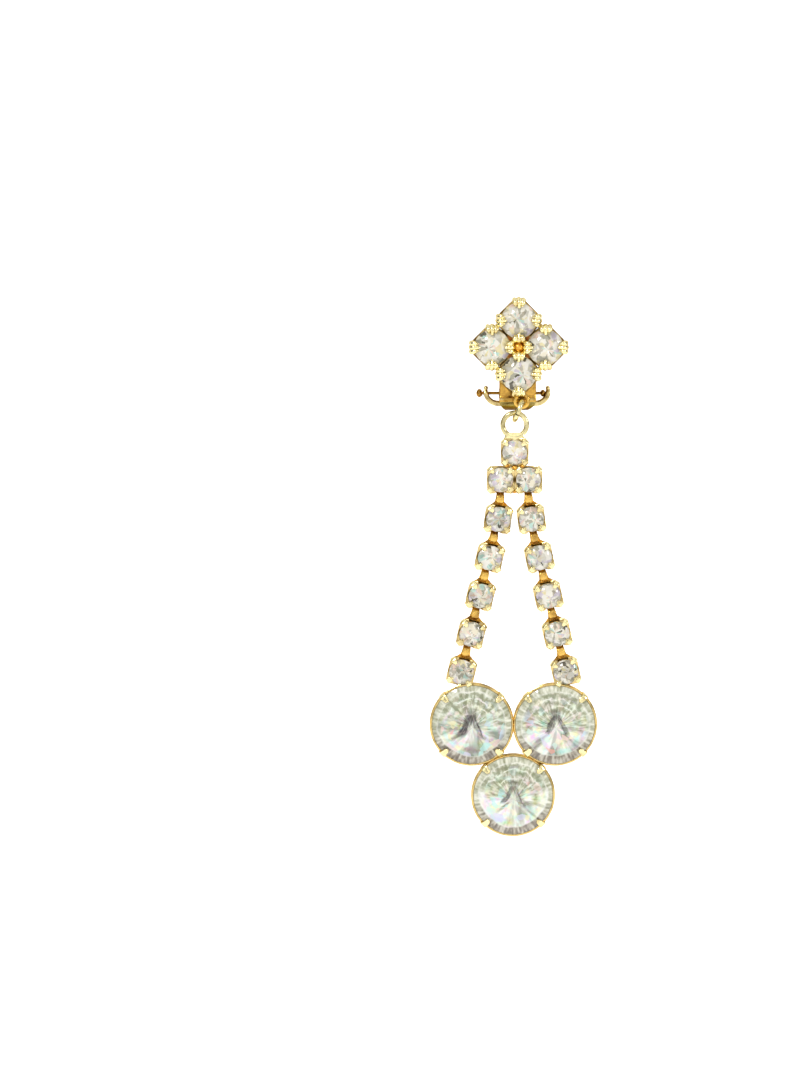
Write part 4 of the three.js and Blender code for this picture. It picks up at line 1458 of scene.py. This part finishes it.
@dataclass(frozen=True)
class Cluster:
    """Four claw settings in a rhombus with their stones, on the clip's strap."""

    workshop: Workshop
    side: float = 5.66
    corner: float = 1.8
    low: float = 0.75
    top: float = 2.75
    wall: float = 0.5
    lobe_spread: float = math.radians(12)
    prong_radius: float = 3.16
    prong_tip: float = 2.1
    middle_radius: float = 0.85
    web_reach: float = 2.84
    web_steps: int = 7
    extra_radius: float = 0.12
    pavilion: float = 2.3
    crown: float = 1.0
    girdle: float = 0.18

    def build(self) -> None:
        """Builds the settings and the four stones."""
        stones = {name: NodeBox.of(f"cluster_stone_{name}") for name in ("top", "left", "right", "bottom")}
        finishes = self.workshop.finishes
        places = [Vector((box.middle.x, box.middle.y, 0.0)) for box in stones.values()]
        metal = self.workshop.on_points(self._tray(), places, finishes.setting)
        girdle = stones["top"].low.z + self.pavilion
        prongs = self.workshop.on_points(self._prongs(girdle), places, finishes.claw)
        metal.take(prongs)
        bloom = blob((self.middle_radius, self.middle_radius, 0.9), finishes.solder, 8, 20)
        metal.take(bloom, Matrix.Translation((0.0, 0.0, self.top + 0.15)))
        metal.take(self._web(stones["right"].middle.x))
        metal.piece("cluster_settings", "clip", Slot.SETTING, ["cluster_frame"])
        for name, box in stones.items():
            cut = BrilliantCut(box.size.x / 2 + self.extra_radius, self.crown, self.pavilion, self.girdle)
            stone = cut.draft(finishes.cluster_crystal, finishes.cluster_foil, finishes.lacquer)
            middle = box.middle
            placed = Draft().take(stone, at(middle.x, middle.y, girdle, math.pi / 8))
            placed.piece(f"cluster_gem_{name}", "clip", Slot.SMALL_STONE, [f"cluster_stone_{name}"])

    def _web(self, apart: float) -> Draft:
        """The floor between the four round stones, a star with hollow sides, whose dark brown is painted
        shade.

        Args:
            apart: How far each stone's middle is from the cluster's.

        Returns:
            The star's solid.
        """
        widest = math.asin(self.web_reach / apart) * 0.98
        outline: list[Pair] = []
        for quarter in range(4):
            for i in range(self.web_steps):
                angle = widest * (2 * i / (self.web_steps - 1) - 1)
                chord = math.sqrt(self.web_reach**2 - (apart * math.sin(angle)) ** 2)
                reach = apart * math.cos(angle) - chord
                turn = angle + quarter * math.pi / 2
                outline.append((reach * math.cos(turn), reach * math.sin(turn)))
        heights = (self.low + 0.3, self.top + 0.04)
        return loft([[Vector((x, y, z)) for x, y in outline] for z in heights], self.workshop.finishes.web)

    def _tray(self) -> Draft:
        """One rounded setting with a plain wall, its corners on the axes."""
        rows = (
            (self.side - 2 * self.wall - 0.6, 1.7, self.low),
            (self.side - 0.7, 1.8, self.low),
            (self.side - 0.12, self.corner, self.low + 0.9),
            (self.side, self.corner, self.top - 0.15),
            (self.side - 0.15, self.corner, self.top),
            (self.side - 2 * self.wall + 0.15, self.corner - 0.3, self.top),
            (self.side - 2 * self.wall, self.corner - 0.3, self.top - 0.15),
            (self.side - 2 * self.wall - 0.3, 1.7, self.low + 0.9),
        )
        turn = turn_about_z(math.pi / 4)
        rings = [
            [turn @ Vector((x, y, height)) for x, y in square_outline(size, corner, 6)]
            for size, corner, height in rows
        ]
        count = len(rings[0])
        points = [point for ring in rings for point in ring]
        faces = []
        for row in range(len(rings)):
            above = (row + 1) % len(rings)
            for i in range(count):
                j = (i + 1) % count
                faces.append((row * count + i, row * count + j, above * count + j, above * count + i))
        return Draft().add(points, faces, self.workshop.finishes.setting)

    def _prongs(self, girdle: float) -> Draft:
        """Four chunky prongs, each of three lobes with rounded tips."""
        finish = self.workshop.finishes.claw
        bunch = Draft()
        for lobe in (-1, 0, 1):
            shorter = 0.28 * abs(lobe)
            path = smooth_path(
                (
                    (self.prong_radius - 0.1, girdle - 1.7),
                    (self.prong_radius + 0.05, girdle - 0.4),
                    (self.prong_radius - 0.05, girdle + 0.55),
                    (self.prong_radius - 0.42, girdle + 1.05),
                    (self.prong_tip + shorter, girdle + 1.0 - shorter * 0.4),
                ),
                4,
            )
            spots = [Vector((point.x, 0.0, point.y)) for point in path]
            radii = eased((0.3, 0.36, 0.42, 0.4, 0.26), len(spots))
            finger = self.workshop.wire(spots, radii, finish, sides=10)
            tip = blob((0.27, 0.27, 0.22), finish, 5, 10)
            finger.take(tip, Matrix.Translation(spots[-1]))
            bunch.take(finger, turn_about_z(lobe * self.lobe_spread))
        return self.workshop.round_copies(bunch, 4, 0.0, finish)


@dataclass(frozen=True)
class Clip:
    """The strap behind the cluster with its foot, curled ears and loop, and the lever."""

    workshop: Workshop
    strap_wide: float = 5.64
    strap_thick: float = 0.76
    ear_radius: float = 1.9
    ear_centre: Pair = (2.9, -7.0)
    ear_back: float = 2.6
    ear_deep: float = 1.9
    ear_thick: float = 0.78
    pin_radius: float = 0.24
    pin_ends: Pair = (-5.7, 4.9)
    bulbs: tuple[Pair, Pair] = ((-5.75, 0.66), (4.0, 0.55))
    pivot: Pair = (-7.34, -2.6)
    pad_half: float = 3.1
    waist_half: float = 2.2
    lever_thick: float = 0.62
    barrel_radius: float = 0.8
    barrel_half: float = 2.75
    loop_radius: float = 0.95
    loop_wire: float = 0.64
    # Place and rise of the pale ridge that paints the highlight along the strap's crease.
    highlight_ridge_y: float = -8.02
    highlight_ridge_rise: float = 0.16

    def build(self) -> None:
        """Builds the strap, its ears and loop, and the lever."""
        fixed = self._strap()
        for side in (-1, 1):
            fixed.take(self._ear(side))
        jump = NodeBox.of("jump_ring")
        bottom = NodeBox.of("cluster_stone_bottom")
        loop_place = self._loop_place(jump, bottom)
        loop = self.workshop.ring(self.loop_radius, self.loop_wire, self.workshop.finishes.link)
        fixed.take(loop, loop_place)
        fixed.piece("clip_strap", "clip", Slot.SETTING)
        self._lever().piece("lever_paddle", "lever", Slot.CLIP, ["clip_lever"])

    def _loop_place(self, jump: NodeBox, bottom: NodeBox) -> Matrix:
        """The loop hangs over the top of the jump ring, in the plane of the drop."""
        wire = 0.75
        side = (jump.size.x - wire) / 2
        top = jump.high.y - wire / 2
        gap = 0.25
        low = top - (self.loop_wire + wire) / 2 - gap
        return at(jump.middle.x + side, low + self.loop_radius, jump.middle.z)

    def _strap(self) -> Draft:
        """The strap, its crease with a pale ridge as painted highlight, and the foot that is bent back, in
        darker plating as painted shade.
        """
        finish = self.workshop.finishes.strap
        middle = self.strap_thick / 2
        wide, thick = self.strap_wide, self.strap_thick
        across = Vector((1.0, 0.0, 0.0))
        flat = [Vector((0.0, y, middle)) for y in (2.5, 0.0, -3.0, -6.0, -7.5)]
        flat += [Vector((0.0, y, middle + rise)) for y, rise in ((-7.75, 0.08), (-8.0, 0.2), (-8.25, 0.06))]
        strap = ribbon(flat, across, [wide] * len(flat), [thick] * len(flat), finish)
        bent = [(-8.1, middle), (-8.45, middle - 0.1)]
        bent += [(-8.8, 0.0), (-9.05, -0.7), (-9.35, -1.8), (-9.7, -3.45)]
        foot = [Vector((0.0, y, z)) for y, z in bent]
        wides = [wide * share for share in (0.98, 0.97, 0.94, 0.88, 0.8, 0.68)]
        # Painted highlight: a ridge in the pale claw plating runs along the crease.
        reach = wide * 0.48
        ridge = [Vector((x, self.highlight_ridge_y, thick + self.highlight_ridge_rise)) for x in (-reach, 0.0, reach)]
        strap.take(ribbon(ridge, Vector((0.0, 1.0, 0.0)), [0.42] * 3, [0.3] * 3, self.workshop.finishes.claw))
        # The bent-back foot takes the darker foot plating, painted shade.
        return strap.take(ribbon(foot, across, wides, [0.66] * len(foot), self.workshop.finishes.foot))

    def _ear(self, side: int) -> Draft:
        """One curled ear with its bulb, on the right for side 1."""
        finish = self.workshop.finishes.ear
        centre_x, centre_y = self.ear_centre
        start, end = math.radians(-90), math.radians(14)
        path = [Vector((1.5, centre_y - self.ear_radius - 0.05, -self.ear_back))]
        steps = 22
        for i in range(steps + 1):
            angle = start + (end - start) * i / steps
            x = centre_x + self.ear_radius * math.cos(angle)
            y = centre_y + self.ear_radius * math.sin(angle)
            path.append(Vector((x, y, -self.ear_back)))
        count = len(path)
        deeps = eased((self.ear_deep, self.ear_deep, self.ear_deep, 1.5, 0.9), count)
        thicks = eased((self.ear_thick, self.ear_thick, self.ear_thick, 0.8, 0.55), count)
        ear = ribbon(path, Vector((0.0, 0.0, 1.0)), deeps, thicks, finish)
        ear.take(blob((0.34, 0.34, 0.46), finish), Matrix.Translation(path[-1]))
        if side < 0:
            mirror = Matrix.Scale(-1.0, 4, (1.0, 0.0, 0.0))
            return Draft().take(ear, mirror)
        return ear

    def _lever(self) -> Draft:
        """The paddle on its barrel, with the pivot's ends."""
        finish = self.workshop.finishes.strap
        pivot_y, pivot_z = self.pivot
        middle = smooth_path(
            (
                (pivot_y, pivot_z),
                (pivot_y * 0.6, pivot_z - 0.5),
                (pivot_y * 0.28, -2.05),
                (0.0, -0.85),
                (2.86, -1.75),
            ),
            7,
        )
        path = [Vector((0.0, point.x, point.y)) for point in middle]
        count = len(path)
        wides = []
        for point in path:
            below = (point.y - pivot_y) / -pivot_y
            flare = max(0.0, min(1.0, (below - 0.45) / 0.35))
            half = self.waist_half + (self.pad_half - self.waist_half) * flare
            over = max(0.0, point.y - 0.2) / 2.9
            wides.append(2 * half * math.sqrt(max(0.12, 1.0 - over**2)))
        paddle = ribbon(path, Vector((1.0, 0.0, 0.0)), wides, [self.lever_thick] * count, finish)
        barrel = (self.barrel_radius, (-self.barrel_half, self.barrel_half))
        for radius, (left, right) in (barrel, (self.pin_radius, self.pin_ends)):
            ends = [Vector((x, pivot_y, pivot_z)) for x in (left, left + 0.12, right - 0.12, right)]
            radii = [radius * 0.85, radius, radius, radius * 0.85]
            paddle.take(self.workshop.wire(ends, radii, finish, sides=24))
        for x, size in self.bulbs:
            paddle.take(blob((size * 0.75, size, size), finish), Matrix.Translation((x, pivot_y, pivot_z)))
        return paddle


@dataclass(frozen=True)
class JumpRing:
    """The split wire ring between the clip's loop and the drop."""

    workshop: Workshop
    radius: float = 1.55
    wire: float = 0.75
    lean: float = math.radians(20)
    opening: float = math.radians(5)
    opening_turn: float = math.radians(200)

    def build(self) -> None:
        """Bends the ring where its node is."""
        box = NodeBox.of("jump_ring")
        ring = self.workshop.ring(self.radius, self.wire, self.workshop.finishes.wire, opening=self.opening)
        upright = Matrix.Rotation(math.pi / 2, 4, "Y") @ turn_about_z(self.opening_turn)
        place = Matrix.Translation(box.middle) @ turn_about_z(-self.lean) @ upright
        Draft().take(ring, place).piece("jump_wire", "ring", Slot.WIRE, ["jump_ring"])


@dataclass(frozen=True)
class DropHead:
    """The drop's ring, its neck and the triangle of three cups."""

    workshop: Workshop
    cup: SquareCup
    ring_wire: float = 0.78
    ring_radius: float = 1.81
    back_to_table: float = 2.62

    def build(self) -> None:
        """Builds the head's metal and its stones."""
        finishes = self.workshop.finishes
        frame_box = NodeBox.of("head_frame")
        top_stone = NodeBox.of("head_stone_top")
        stones = {side: NodeBox.of(f"head_stone_{side.value}") for side in Side}
        ring_y = frame_box.high.y - self.ring_wire / 2 - self.ring_radius
        x = top_stone.middle.x
        plane = (top_stone.high.z + top_stone.high.z - self.back_to_table) / 2
        back = top_stone.high.z - self.back_to_table
        metal = Draft()
        metal.take(self.workshop.ring(self.ring_radius, self.ring_wire, finishes.wire), at(x, ring_y, plane))
        metal.take(self._neck(x, ring_y, plane, top_stone.middle.y))
        metal.take(self.cup.draft((False, False), False), at(x, top_stone.middle.y, back))
        for box in stones.values():
            metal.take(self.cup.draft((False, True), False), at(box.middle.x, box.middle.y, back))
        self._solder(metal, x, top_stone.middle.y, stones, back)
        metal.piece("head_settings", "drop", Slot.SETTING, ["head_frame"])
        stone = SmallStone(self.workshop)
        stone.build("head_gem_top", "head_stone_top", at(x, top_stone.middle.y, back), 0.1)
        for side, turn in ((Side.LEFT, 0.25), (Side.RIGHT, -0.15)):
            middle = stones[side].middle
            place = at(middle.x, middle.y, back)
            stone.build(f"head_gem_{side.value}", f"head_stone_{side.value}", place, turn)

    def _neck(self, x: float, ring_y: float, plane: float, cup_y: float) -> Draft:
        """The plate that runs from the ring's lower half to the top cup."""
        low = cup_y + self.cup.size / 2 - 0.25
        high = ring_y - self.ring_radius * 0.66
        spots = [Vector((x, high + (low - high) * t / 5, plane)) for t in range(6)]
        wides = eased((2.5, 2.9, 3.1, 3.5), len(spots))
        return ribbon(spots, Vector((1.0, 0.0, 0.0)), wides, [0.75] * len(spots), self.workshop.finishes.claw)

    def _solder(
        self, metal: Draft, x: float, top_y: float, stones: dict[Side, NodeBox], back: float
    ) -> None:
        """Drops of solder between the three cups."""
        finish = self.workshop.finishes.solder
        low_y = stones[Side.LEFT].middle.y
        seam = (top_y + low_y) / 2
        front = back + 1.75
        spots = [(0.0, seam - 0.25, 0.5), (-1.25, seam + 0.05, 0.42), (1.25, seam + 0.05, 0.42)]
        spots.append((0.0, low_y - 1.75, 0.42))
        for off, y, size in spots:
            drop = blob((size * 1.15, size * 0.8, size), finish)
            metal.take(drop, at(x + off, y, front))


@dataclass(frozen=True)
class Link:
    """A flat amber link with a swollen middle, between two cups."""

    workshop: Workshop
    half: float = 1.62
    neck_wide: float = 1.2
    end_wide: float = 1.9
    thick: float = 0.5
    height: float = 0.85

    def draft(self) -> Draft:
        """Makes the link upright about its own middle, with the cups' back at z = 0."""
        shares = (-1.0, -0.72, -0.6, -0.35, -0.15, 0.0, 0.15, 0.35, 0.6, 0.72, 1.0)
        neck, end = self.neck_wide, self.end_wide
        wides = (end, end, 1.15, neck, neck + 0.1, neck + 0.12, neck + 0.1, neck, 1.15, end, end)
        rises = (0.0, 0.0, 0.03, 0.2, 0.3, 0.32, 0.3, 0.2, 0.03, 0.0, 0.0)
        path = [Vector((0.0, self.half * share, self.height + rise)) for share, rise in zip(shares, rises)]
        thicks = [self.thick + 1.2 * rise for rise in rises]
        return ribbon(path, Vector((1.0, 0.0, 0.0)), wides, thicks, self.workshop.finishes.link)


@dataclass(frozen=True)
class CupChain:
    """One of the two chains of cups, links and stones."""

    workshop: Workshop
    cup: SquareCup
    side: Side
    twist: float
    cups: int = 4
    axis_height: float = 1.3
    back_to_table: float = 2.62

    def places(self) -> list[Vector]:
        """Middles of the chain's stones, with the head's own first."""
        names = [f"head_stone_{self.side.value}"]
        names += [f"{self.side.value}_stone_{i}" for i in range(1, self.cups + 2)]
        boxes = [NodeBox.of(name) for name in names]
        return [Vector((box.middle.x, box.middle.y, box.high.z)) for box in boxes]

    def leans(self) -> list[float]:
        """How far each cup leans: halfway between the directions of its neighbours."""
        spots = self.places()
        steps = [math.atan2(low.x - high.x, high.y - low.y) for high, low in zip(spots, spots[1:])]
        return [0.0] + [(step + after) / 2 for step, after in zip(steps, [*steps[1:], steps[-1]])]

    def twisted(self, x: float, y: float, back: float, lean: float, share: float = 1.0) -> Matrix:
        """A place on the chain, twisted about the chain's own line.

        Args:
            x: Millimetres to the right.
            y: Millimetres up.
            back: Height of the cups' back.
            lean: Turn in the plane of the face.
            share: How much of the chain's twist it has.

        Returns:
            The matrix of the place.
        """
        rise = Matrix.Translation((0.0, 0.0, self.axis_height))
        return at(x, y, back, lean) @ rise @ Matrix.Rotation(self.twist * share, 4, "Y") @ rise.inverted()

    def build(self) -> None:
        """Builds the chain's cups, links and stones."""
        spots, leans = self.places(), self.leans()
        back = spots[0].z - self.back_to_table
        name = self.side.value
        stone = SmallStone(self.workshop)
        bar = Link(self.workshop).draft()
        for i in range(1, self.cups + 2):
            spot, lean, above = spots[i], leans[i], spots[i - 1]
            free = i <= self.cups
            place = self.twisted(spot.x, spot.y, back, lean, 1.0 if free else 0.0)
            if free:
                cup = Draft().take(self.cup.draft((True, True), True), place)
                cup.piece(f"{name}_setting_{i}", "drop", Slot.SETTING, [f"{name}_cup_{i}"])
            stone.build(f"{name}_gem_{i}", f"{name}_stone_{i}", place, 0.3 * i)
            middle = NodeBox.of(f"{name}_link_{i}").middle
            turn = math.atan2(spot.x - above.x, above.y - spot.y)
            share = 1.0 if 1 < i <= self.cups else 0.5
            link = Draft().take(bar, self.twisted(middle.x, middle.y, back, turn, share))
            link.piece(f"{name}_bar_{i}", "drop", Slot.LINK, [f"{name}_link_{i}"])


@dataclass(frozen=True)
class Trio:
    """Three large claw settings in a triangle with their pointed stones and the last cup of each chain."""

    workshop: Workshop
    cup: SquareCup
    chains: tuple[CupChain, CupChain]
    outer: float = 6.45
    wall: float = 0.3
    deep: float = 3.5
    flare: float = 2.4
    back_radius: float = 5.3
    ledge: float = 0.6
    claw_long: float = 0.85
    stone_radius: float = 6.08
    pavilion: float = 2.9
    girdle: float = 0.3
    crown: float = 2.4
    pleat_long: float = 0.85
    pleat_rise: float = 0.46

    def build(self) -> None:
        """Builds the settings with the chains' last cups, and the stones."""
        finishes = self.workshop.finishes
        boxes = {name: NodeBox.of(f"trio_stone_{name}") for name in ("left", "right", "bottom")}
        girdle = boxes["left"].low.z + self.pavilion
        back = girdle + self.girdle / 2 - self.deep
        places = [Vector((box.middle.x, box.middle.y, back)) for box in boxes.values()]
        metal = self.workshop.on_points(self._wall(), places, finishes.rim)
        metal.take(self.workshop.on_points(self._claws(girdle - back), places, finishes.claw))
        for chain in self.chains:
            spot, lean = chain.places()[-1], chain.leans()[-1]
            cup_back = spot.z - chain.back_to_table
            metal.take(self.cup.draft((True, False), True), at(spot.x, spot.y, cup_back, lean))
        self._solder(metal, places)
        metal.piece("trio_settings", "drop", Slot.SETTING, ["trio_frame"])
        for i, (name, box) in enumerate(boxes.items()):
            centre = Vector((box.middle.x, box.middle.y, girdle))
            seed = 1.7 + 3.1 * i
            legs, shade = PAINTED_TENT_REFLECTIONS[name]
            crystal = SunburstCrystal(f"sunburst_crystal_{name}", self.stone_radius, seed, SILKY, legs, shade)
            foil = SunburstCrystal(f"sunburst_foil_{name}", self.stone_radius, seed, FOIL, legs, shade)
            cut = PointedCut(
                self.stone_radius, self.crown, self.pavilion, self.girdle, self.pleat_long, self.pleat_rise
            )
            stone = cut.draft(crystal.material(), foil.material(), finishes.lacquer)
            placed = Draft().take(stone, Matrix.Translation(centre))
            placed.piece(f"trio_gem_{name}", "drop", Slot.LARGE_STONE, [f"trio_stone_{name}"])

    def _wall(self) -> Draft:
        """One open-backed wall with its ledge and thin rim, its back at z = 0."""
        inner = self.outer - self.wall
        profile = (
            (self.back_radius - self.ledge, 0.05),
            (self.back_radius - 0.05, 0.0),
            (self.back_radius + 0.03, 0.06),
            (self.outer - 0.06, self.flare - 0.1),
            (self.outer, self.flare + 0.1),
            (self.outer, self.deep - 0.55),
            (self.outer + 0.05, self.deep - 0.45),
            (self.outer + 0.05, self.deep - 0.26),
            (self.outer - 0.06, self.deep - 0.2),
            (self.outer - 0.09, self.deep),
            (self.outer - 0.15, self.deep + 0.08),
            (inner + 0.02, self.deep + 0.09),
            (inner, self.deep),
            (inner, self.flare + 0.3),
            (self.back_radius - 0.35, 0.6),
            (self.back_radius - self.ledge, 0.55),
        )
        return turned(profile, 120, self.workshop.finishes.rim)

    def _claws(self, girdle: float) -> Draft:
        """Four small pointed claws at the diagonals."""
        tip = self.stone_radius - self.claw_long
        rise = girdle + self.girdle
        path = smooth_path(
            (
                (self.outer - 0.02, rise - 1.2),
                (self.outer + 0.06, rise - 0.2),
                (self.outer - 0.12, rise + 0.45),
                (self.stone_radius - 0.55, rise + 0.72),
                (tip, rise + 0.86),
            ),
            3,
        )
        spots = [Vector((point.x, 0.0, point.y)) for point in path]
        count = len(spots)
        wides = eased((1.1, 1.1, 1.0, 0.78, 0.3), count)
        thicks = eased((0.2, 0.26, 0.3, 0.28, 0.16), count)
        finish = self.workshop.finishes.claw
        claw = ribbon(spots, Vector((0.0, 1.0, 0.0)), wides, thicks, finish)
        return self.workshop.round_copies(claw, 4, math.pi / 4, finish)

    def _solder(self, metal: Draft, places: Sequence[Vector]) -> None:
        """Drops of solder where two settings meet."""
        for i, place in enumerate(places):
            middle = (place + places[(i + 1) % 3]) / 2
            drop = blob((0.5, 0.5, 1.0), self.workshop.finishes.solder)
            metal.take(drop, Matrix.Translation((middle.x, middle.y, middle.z + self.deep - 1.0)))


@dataclass(frozen=True)
class Studio:
    """The pale floor, soft light and the camera at the photograph's angle."""

    picture_high: int = 1080
    scale: float = 0.1527
    plane: float = 3.2
    distance: float = 400.0
    eye_x: float = -17.2
    eye_y: float = 20.0
    aim_x: float = -17.2
    aim_y: float = -29.4
    floor_down: float = 0.13
    floor_half: float = 2.0
    wall_back: float = 0.7
    wall_high: float = 2.0
    glow_reach: float = 0.42
    dark: Colour = (0.07, 0.06, 0.045)
    bright: Colour = (1.25, 1.25, 1.25)
    plain: Colour = (0.93, 0.93, 0.93)

    def build(self) -> None:
        """Sets the floor, the lights, the world and the camera."""
        self._camera()
        self._floor()
        self._world()
        self._soft_box("key_light", (-0.22, -0.34, 0.3), 0.1, 0.95)
        self._soft_box("side_light", (0.34, -0.16, 0.1), 0.08, 0.3)

    def _camera(self) -> None:
        """A camera a little above the clip, aimed at the middle of the picture."""
        eye = face_to_frame(Vector((self.eye_x, self.eye_y, self.plane + self.distance)))
        aim = face_to_frame(Vector((self.aim_x, self.aim_y, self.plane)))
        data = bpy.data.cameras.new("photo_camera")
        data.sensor_fit = "VERTICAL"
        high = self.picture_high * self.scale * MM
        data.lens = data.sensor_height * (aim - eye).length / high
        data.clip_start = 0.01
        camera = bpy.data.objects.new("photo_camera", data)
        camera.location = eye
        camera.rotation_euler = (aim - eye).to_track_quat("-Z", "Y").to_euler()
        bpy.context.scene.collection.objects.link(camera)
        bpy.context.scene.camera = camera

    def _floor(self) -> None:
        """A plain pale floor that sweeps up into a wall behind the earring."""
        half, low = self.floor_half, -self.floor_down
        bend = 0.4
        profile = [(-half, low)]
        steps = 12
        for i in range(steps + 1):
            angle = i / steps * math.pi / 2
            back = self.wall_back - bend + bend * math.sin(angle)
            profile.append((back, low + bend - bend * math.cos(angle)))
        profile.append((self.wall_back, self.wall_high))
        points = [(x, y, z) for y, z in profile for x in (-half, half)]
        faces = [(2 * i, 2 * i + 1, 2 * i + 3, 2 * i + 2) for i in range(len(profile) - 1)]
        mesh = bpy.data.meshes.new("floor")
        mesh.from_pydata(points, [], faces)
        mesh.polygons.foreach_set("use_smooth", [True] * len(faces))
        material, graph, shader = new_material("floor_paint")
        place = graph.add("ShaderNodeTexCoord").outputs["Object"]
        cloud = graph.between(graph.noise(place, 6.0), 0.3, 0.7)
        colour = graph.mix(cloud, (0.93, 0.93, 0.93), (0.95, 0.95, 0.95))
        graph.tree.links.new(colour, shader.inputs["Base Color"])
        shader.inputs["Roughness"].default_value = 0.8
        shader.inputs["Emission Color"].default_value = (1.0, 1.0, 1.0, 1.0)
        spot = graph.vector("ADD", {0: place, 1: (0.0, -self.wall_back, 0.05)})
        off = graph.vector("LENGTH", {0: spot})
        glow = graph.between(off, self.glow_reach, 2 * self.glow_reach, 0.75, 0.12)
        graph.tree.links.new(glow, shader.inputs["Emission Strength"])
        mesh.materials.append(material)
        floor = bpy.data.objects.new("floor", mesh)
        bpy.context.scene.collection.objects.link(floor)

    def _world(self) -> None:
        """Soft light from all round, with dark patches that the metal and stones mirror."""
        world = bpy.data.worlds.new("studio")
        world.use_nodes = True
        bpy.context.scene.world = world
        graph = Graph(world.node_tree)
        ray = graph.add("ShaderNodeTexCoord").outputs["Generated"]
        split = graph.add("ShaderNodeSeparateXYZ", {0: ray})
        ahead = graph.between(split.outputs["Y"], -0.15, -0.55)
        above = graph.between(split.outputs["Z"], 0.4, 0.75)
        pattern = graph.between(graph.noise(ray, 4.2, 2.0), 0.4, 0.5)
        share = graph.math("MULTIPLY", graph.math("MAXIMUM", ahead, above), pattern)
        colour = graph.mix(share, self.dark, self.bright)
        seen = graph.add("ShaderNodeLightPath").outputs["Is Camera Ray"]
        colour = graph.mix(seen, colour, self.plain)
        light = graph.add("ShaderNodeBackground", {"Color": colour, "Strength": 1.0})
        graph.add("ShaderNodeOutputWorld", {"Surface": light.outputs[0]})

    @staticmethod
    def _soft_box(name: str, place: tuple[float, float, float], size: float, power: float) -> None:
        """A square soft light that faces the earring's middle."""
        data = bpy.data.lights.new(name, "AREA")
        data.size = size
        data.energy = power
        light = bpy.data.objects.new(name, data)
        light.location = place
        middle = Vector((0.0, 0.0, -0.035))
        light.rotation_euler = (middle - Vector(place)).to_track_quat("-Z", "Y").to_euler()
        bpy.context.scene.collection.objects.link(light)


def main() -> None:
    """Builds the earring and the studio in order."""
    logging.basicConfig(level=logging.INFO, format="%(message)s")
    Studio().build()
    workshop = Workshop(Trees(), Finishes.build())
    cup = SquareCup(workshop)
    Cluster(workshop).build()
    Clip(workshop).build()
    JumpRing(workshop).build()
    DropHead(workshop, cup).build()
    twists = {Side.LEFT: math.radians(11), Side.RIGHT: math.radians(3)}
    chains = tuple(CupChain(workshop, cup, side, twists[side]) for side in Side)
    for chain in chains:
        chain.build()
    Trio(workshop, cup, chains).build()
    bpy.context.scene.view_settings.view_transform = "Standard"


if __name__ == "__main__":
    main()
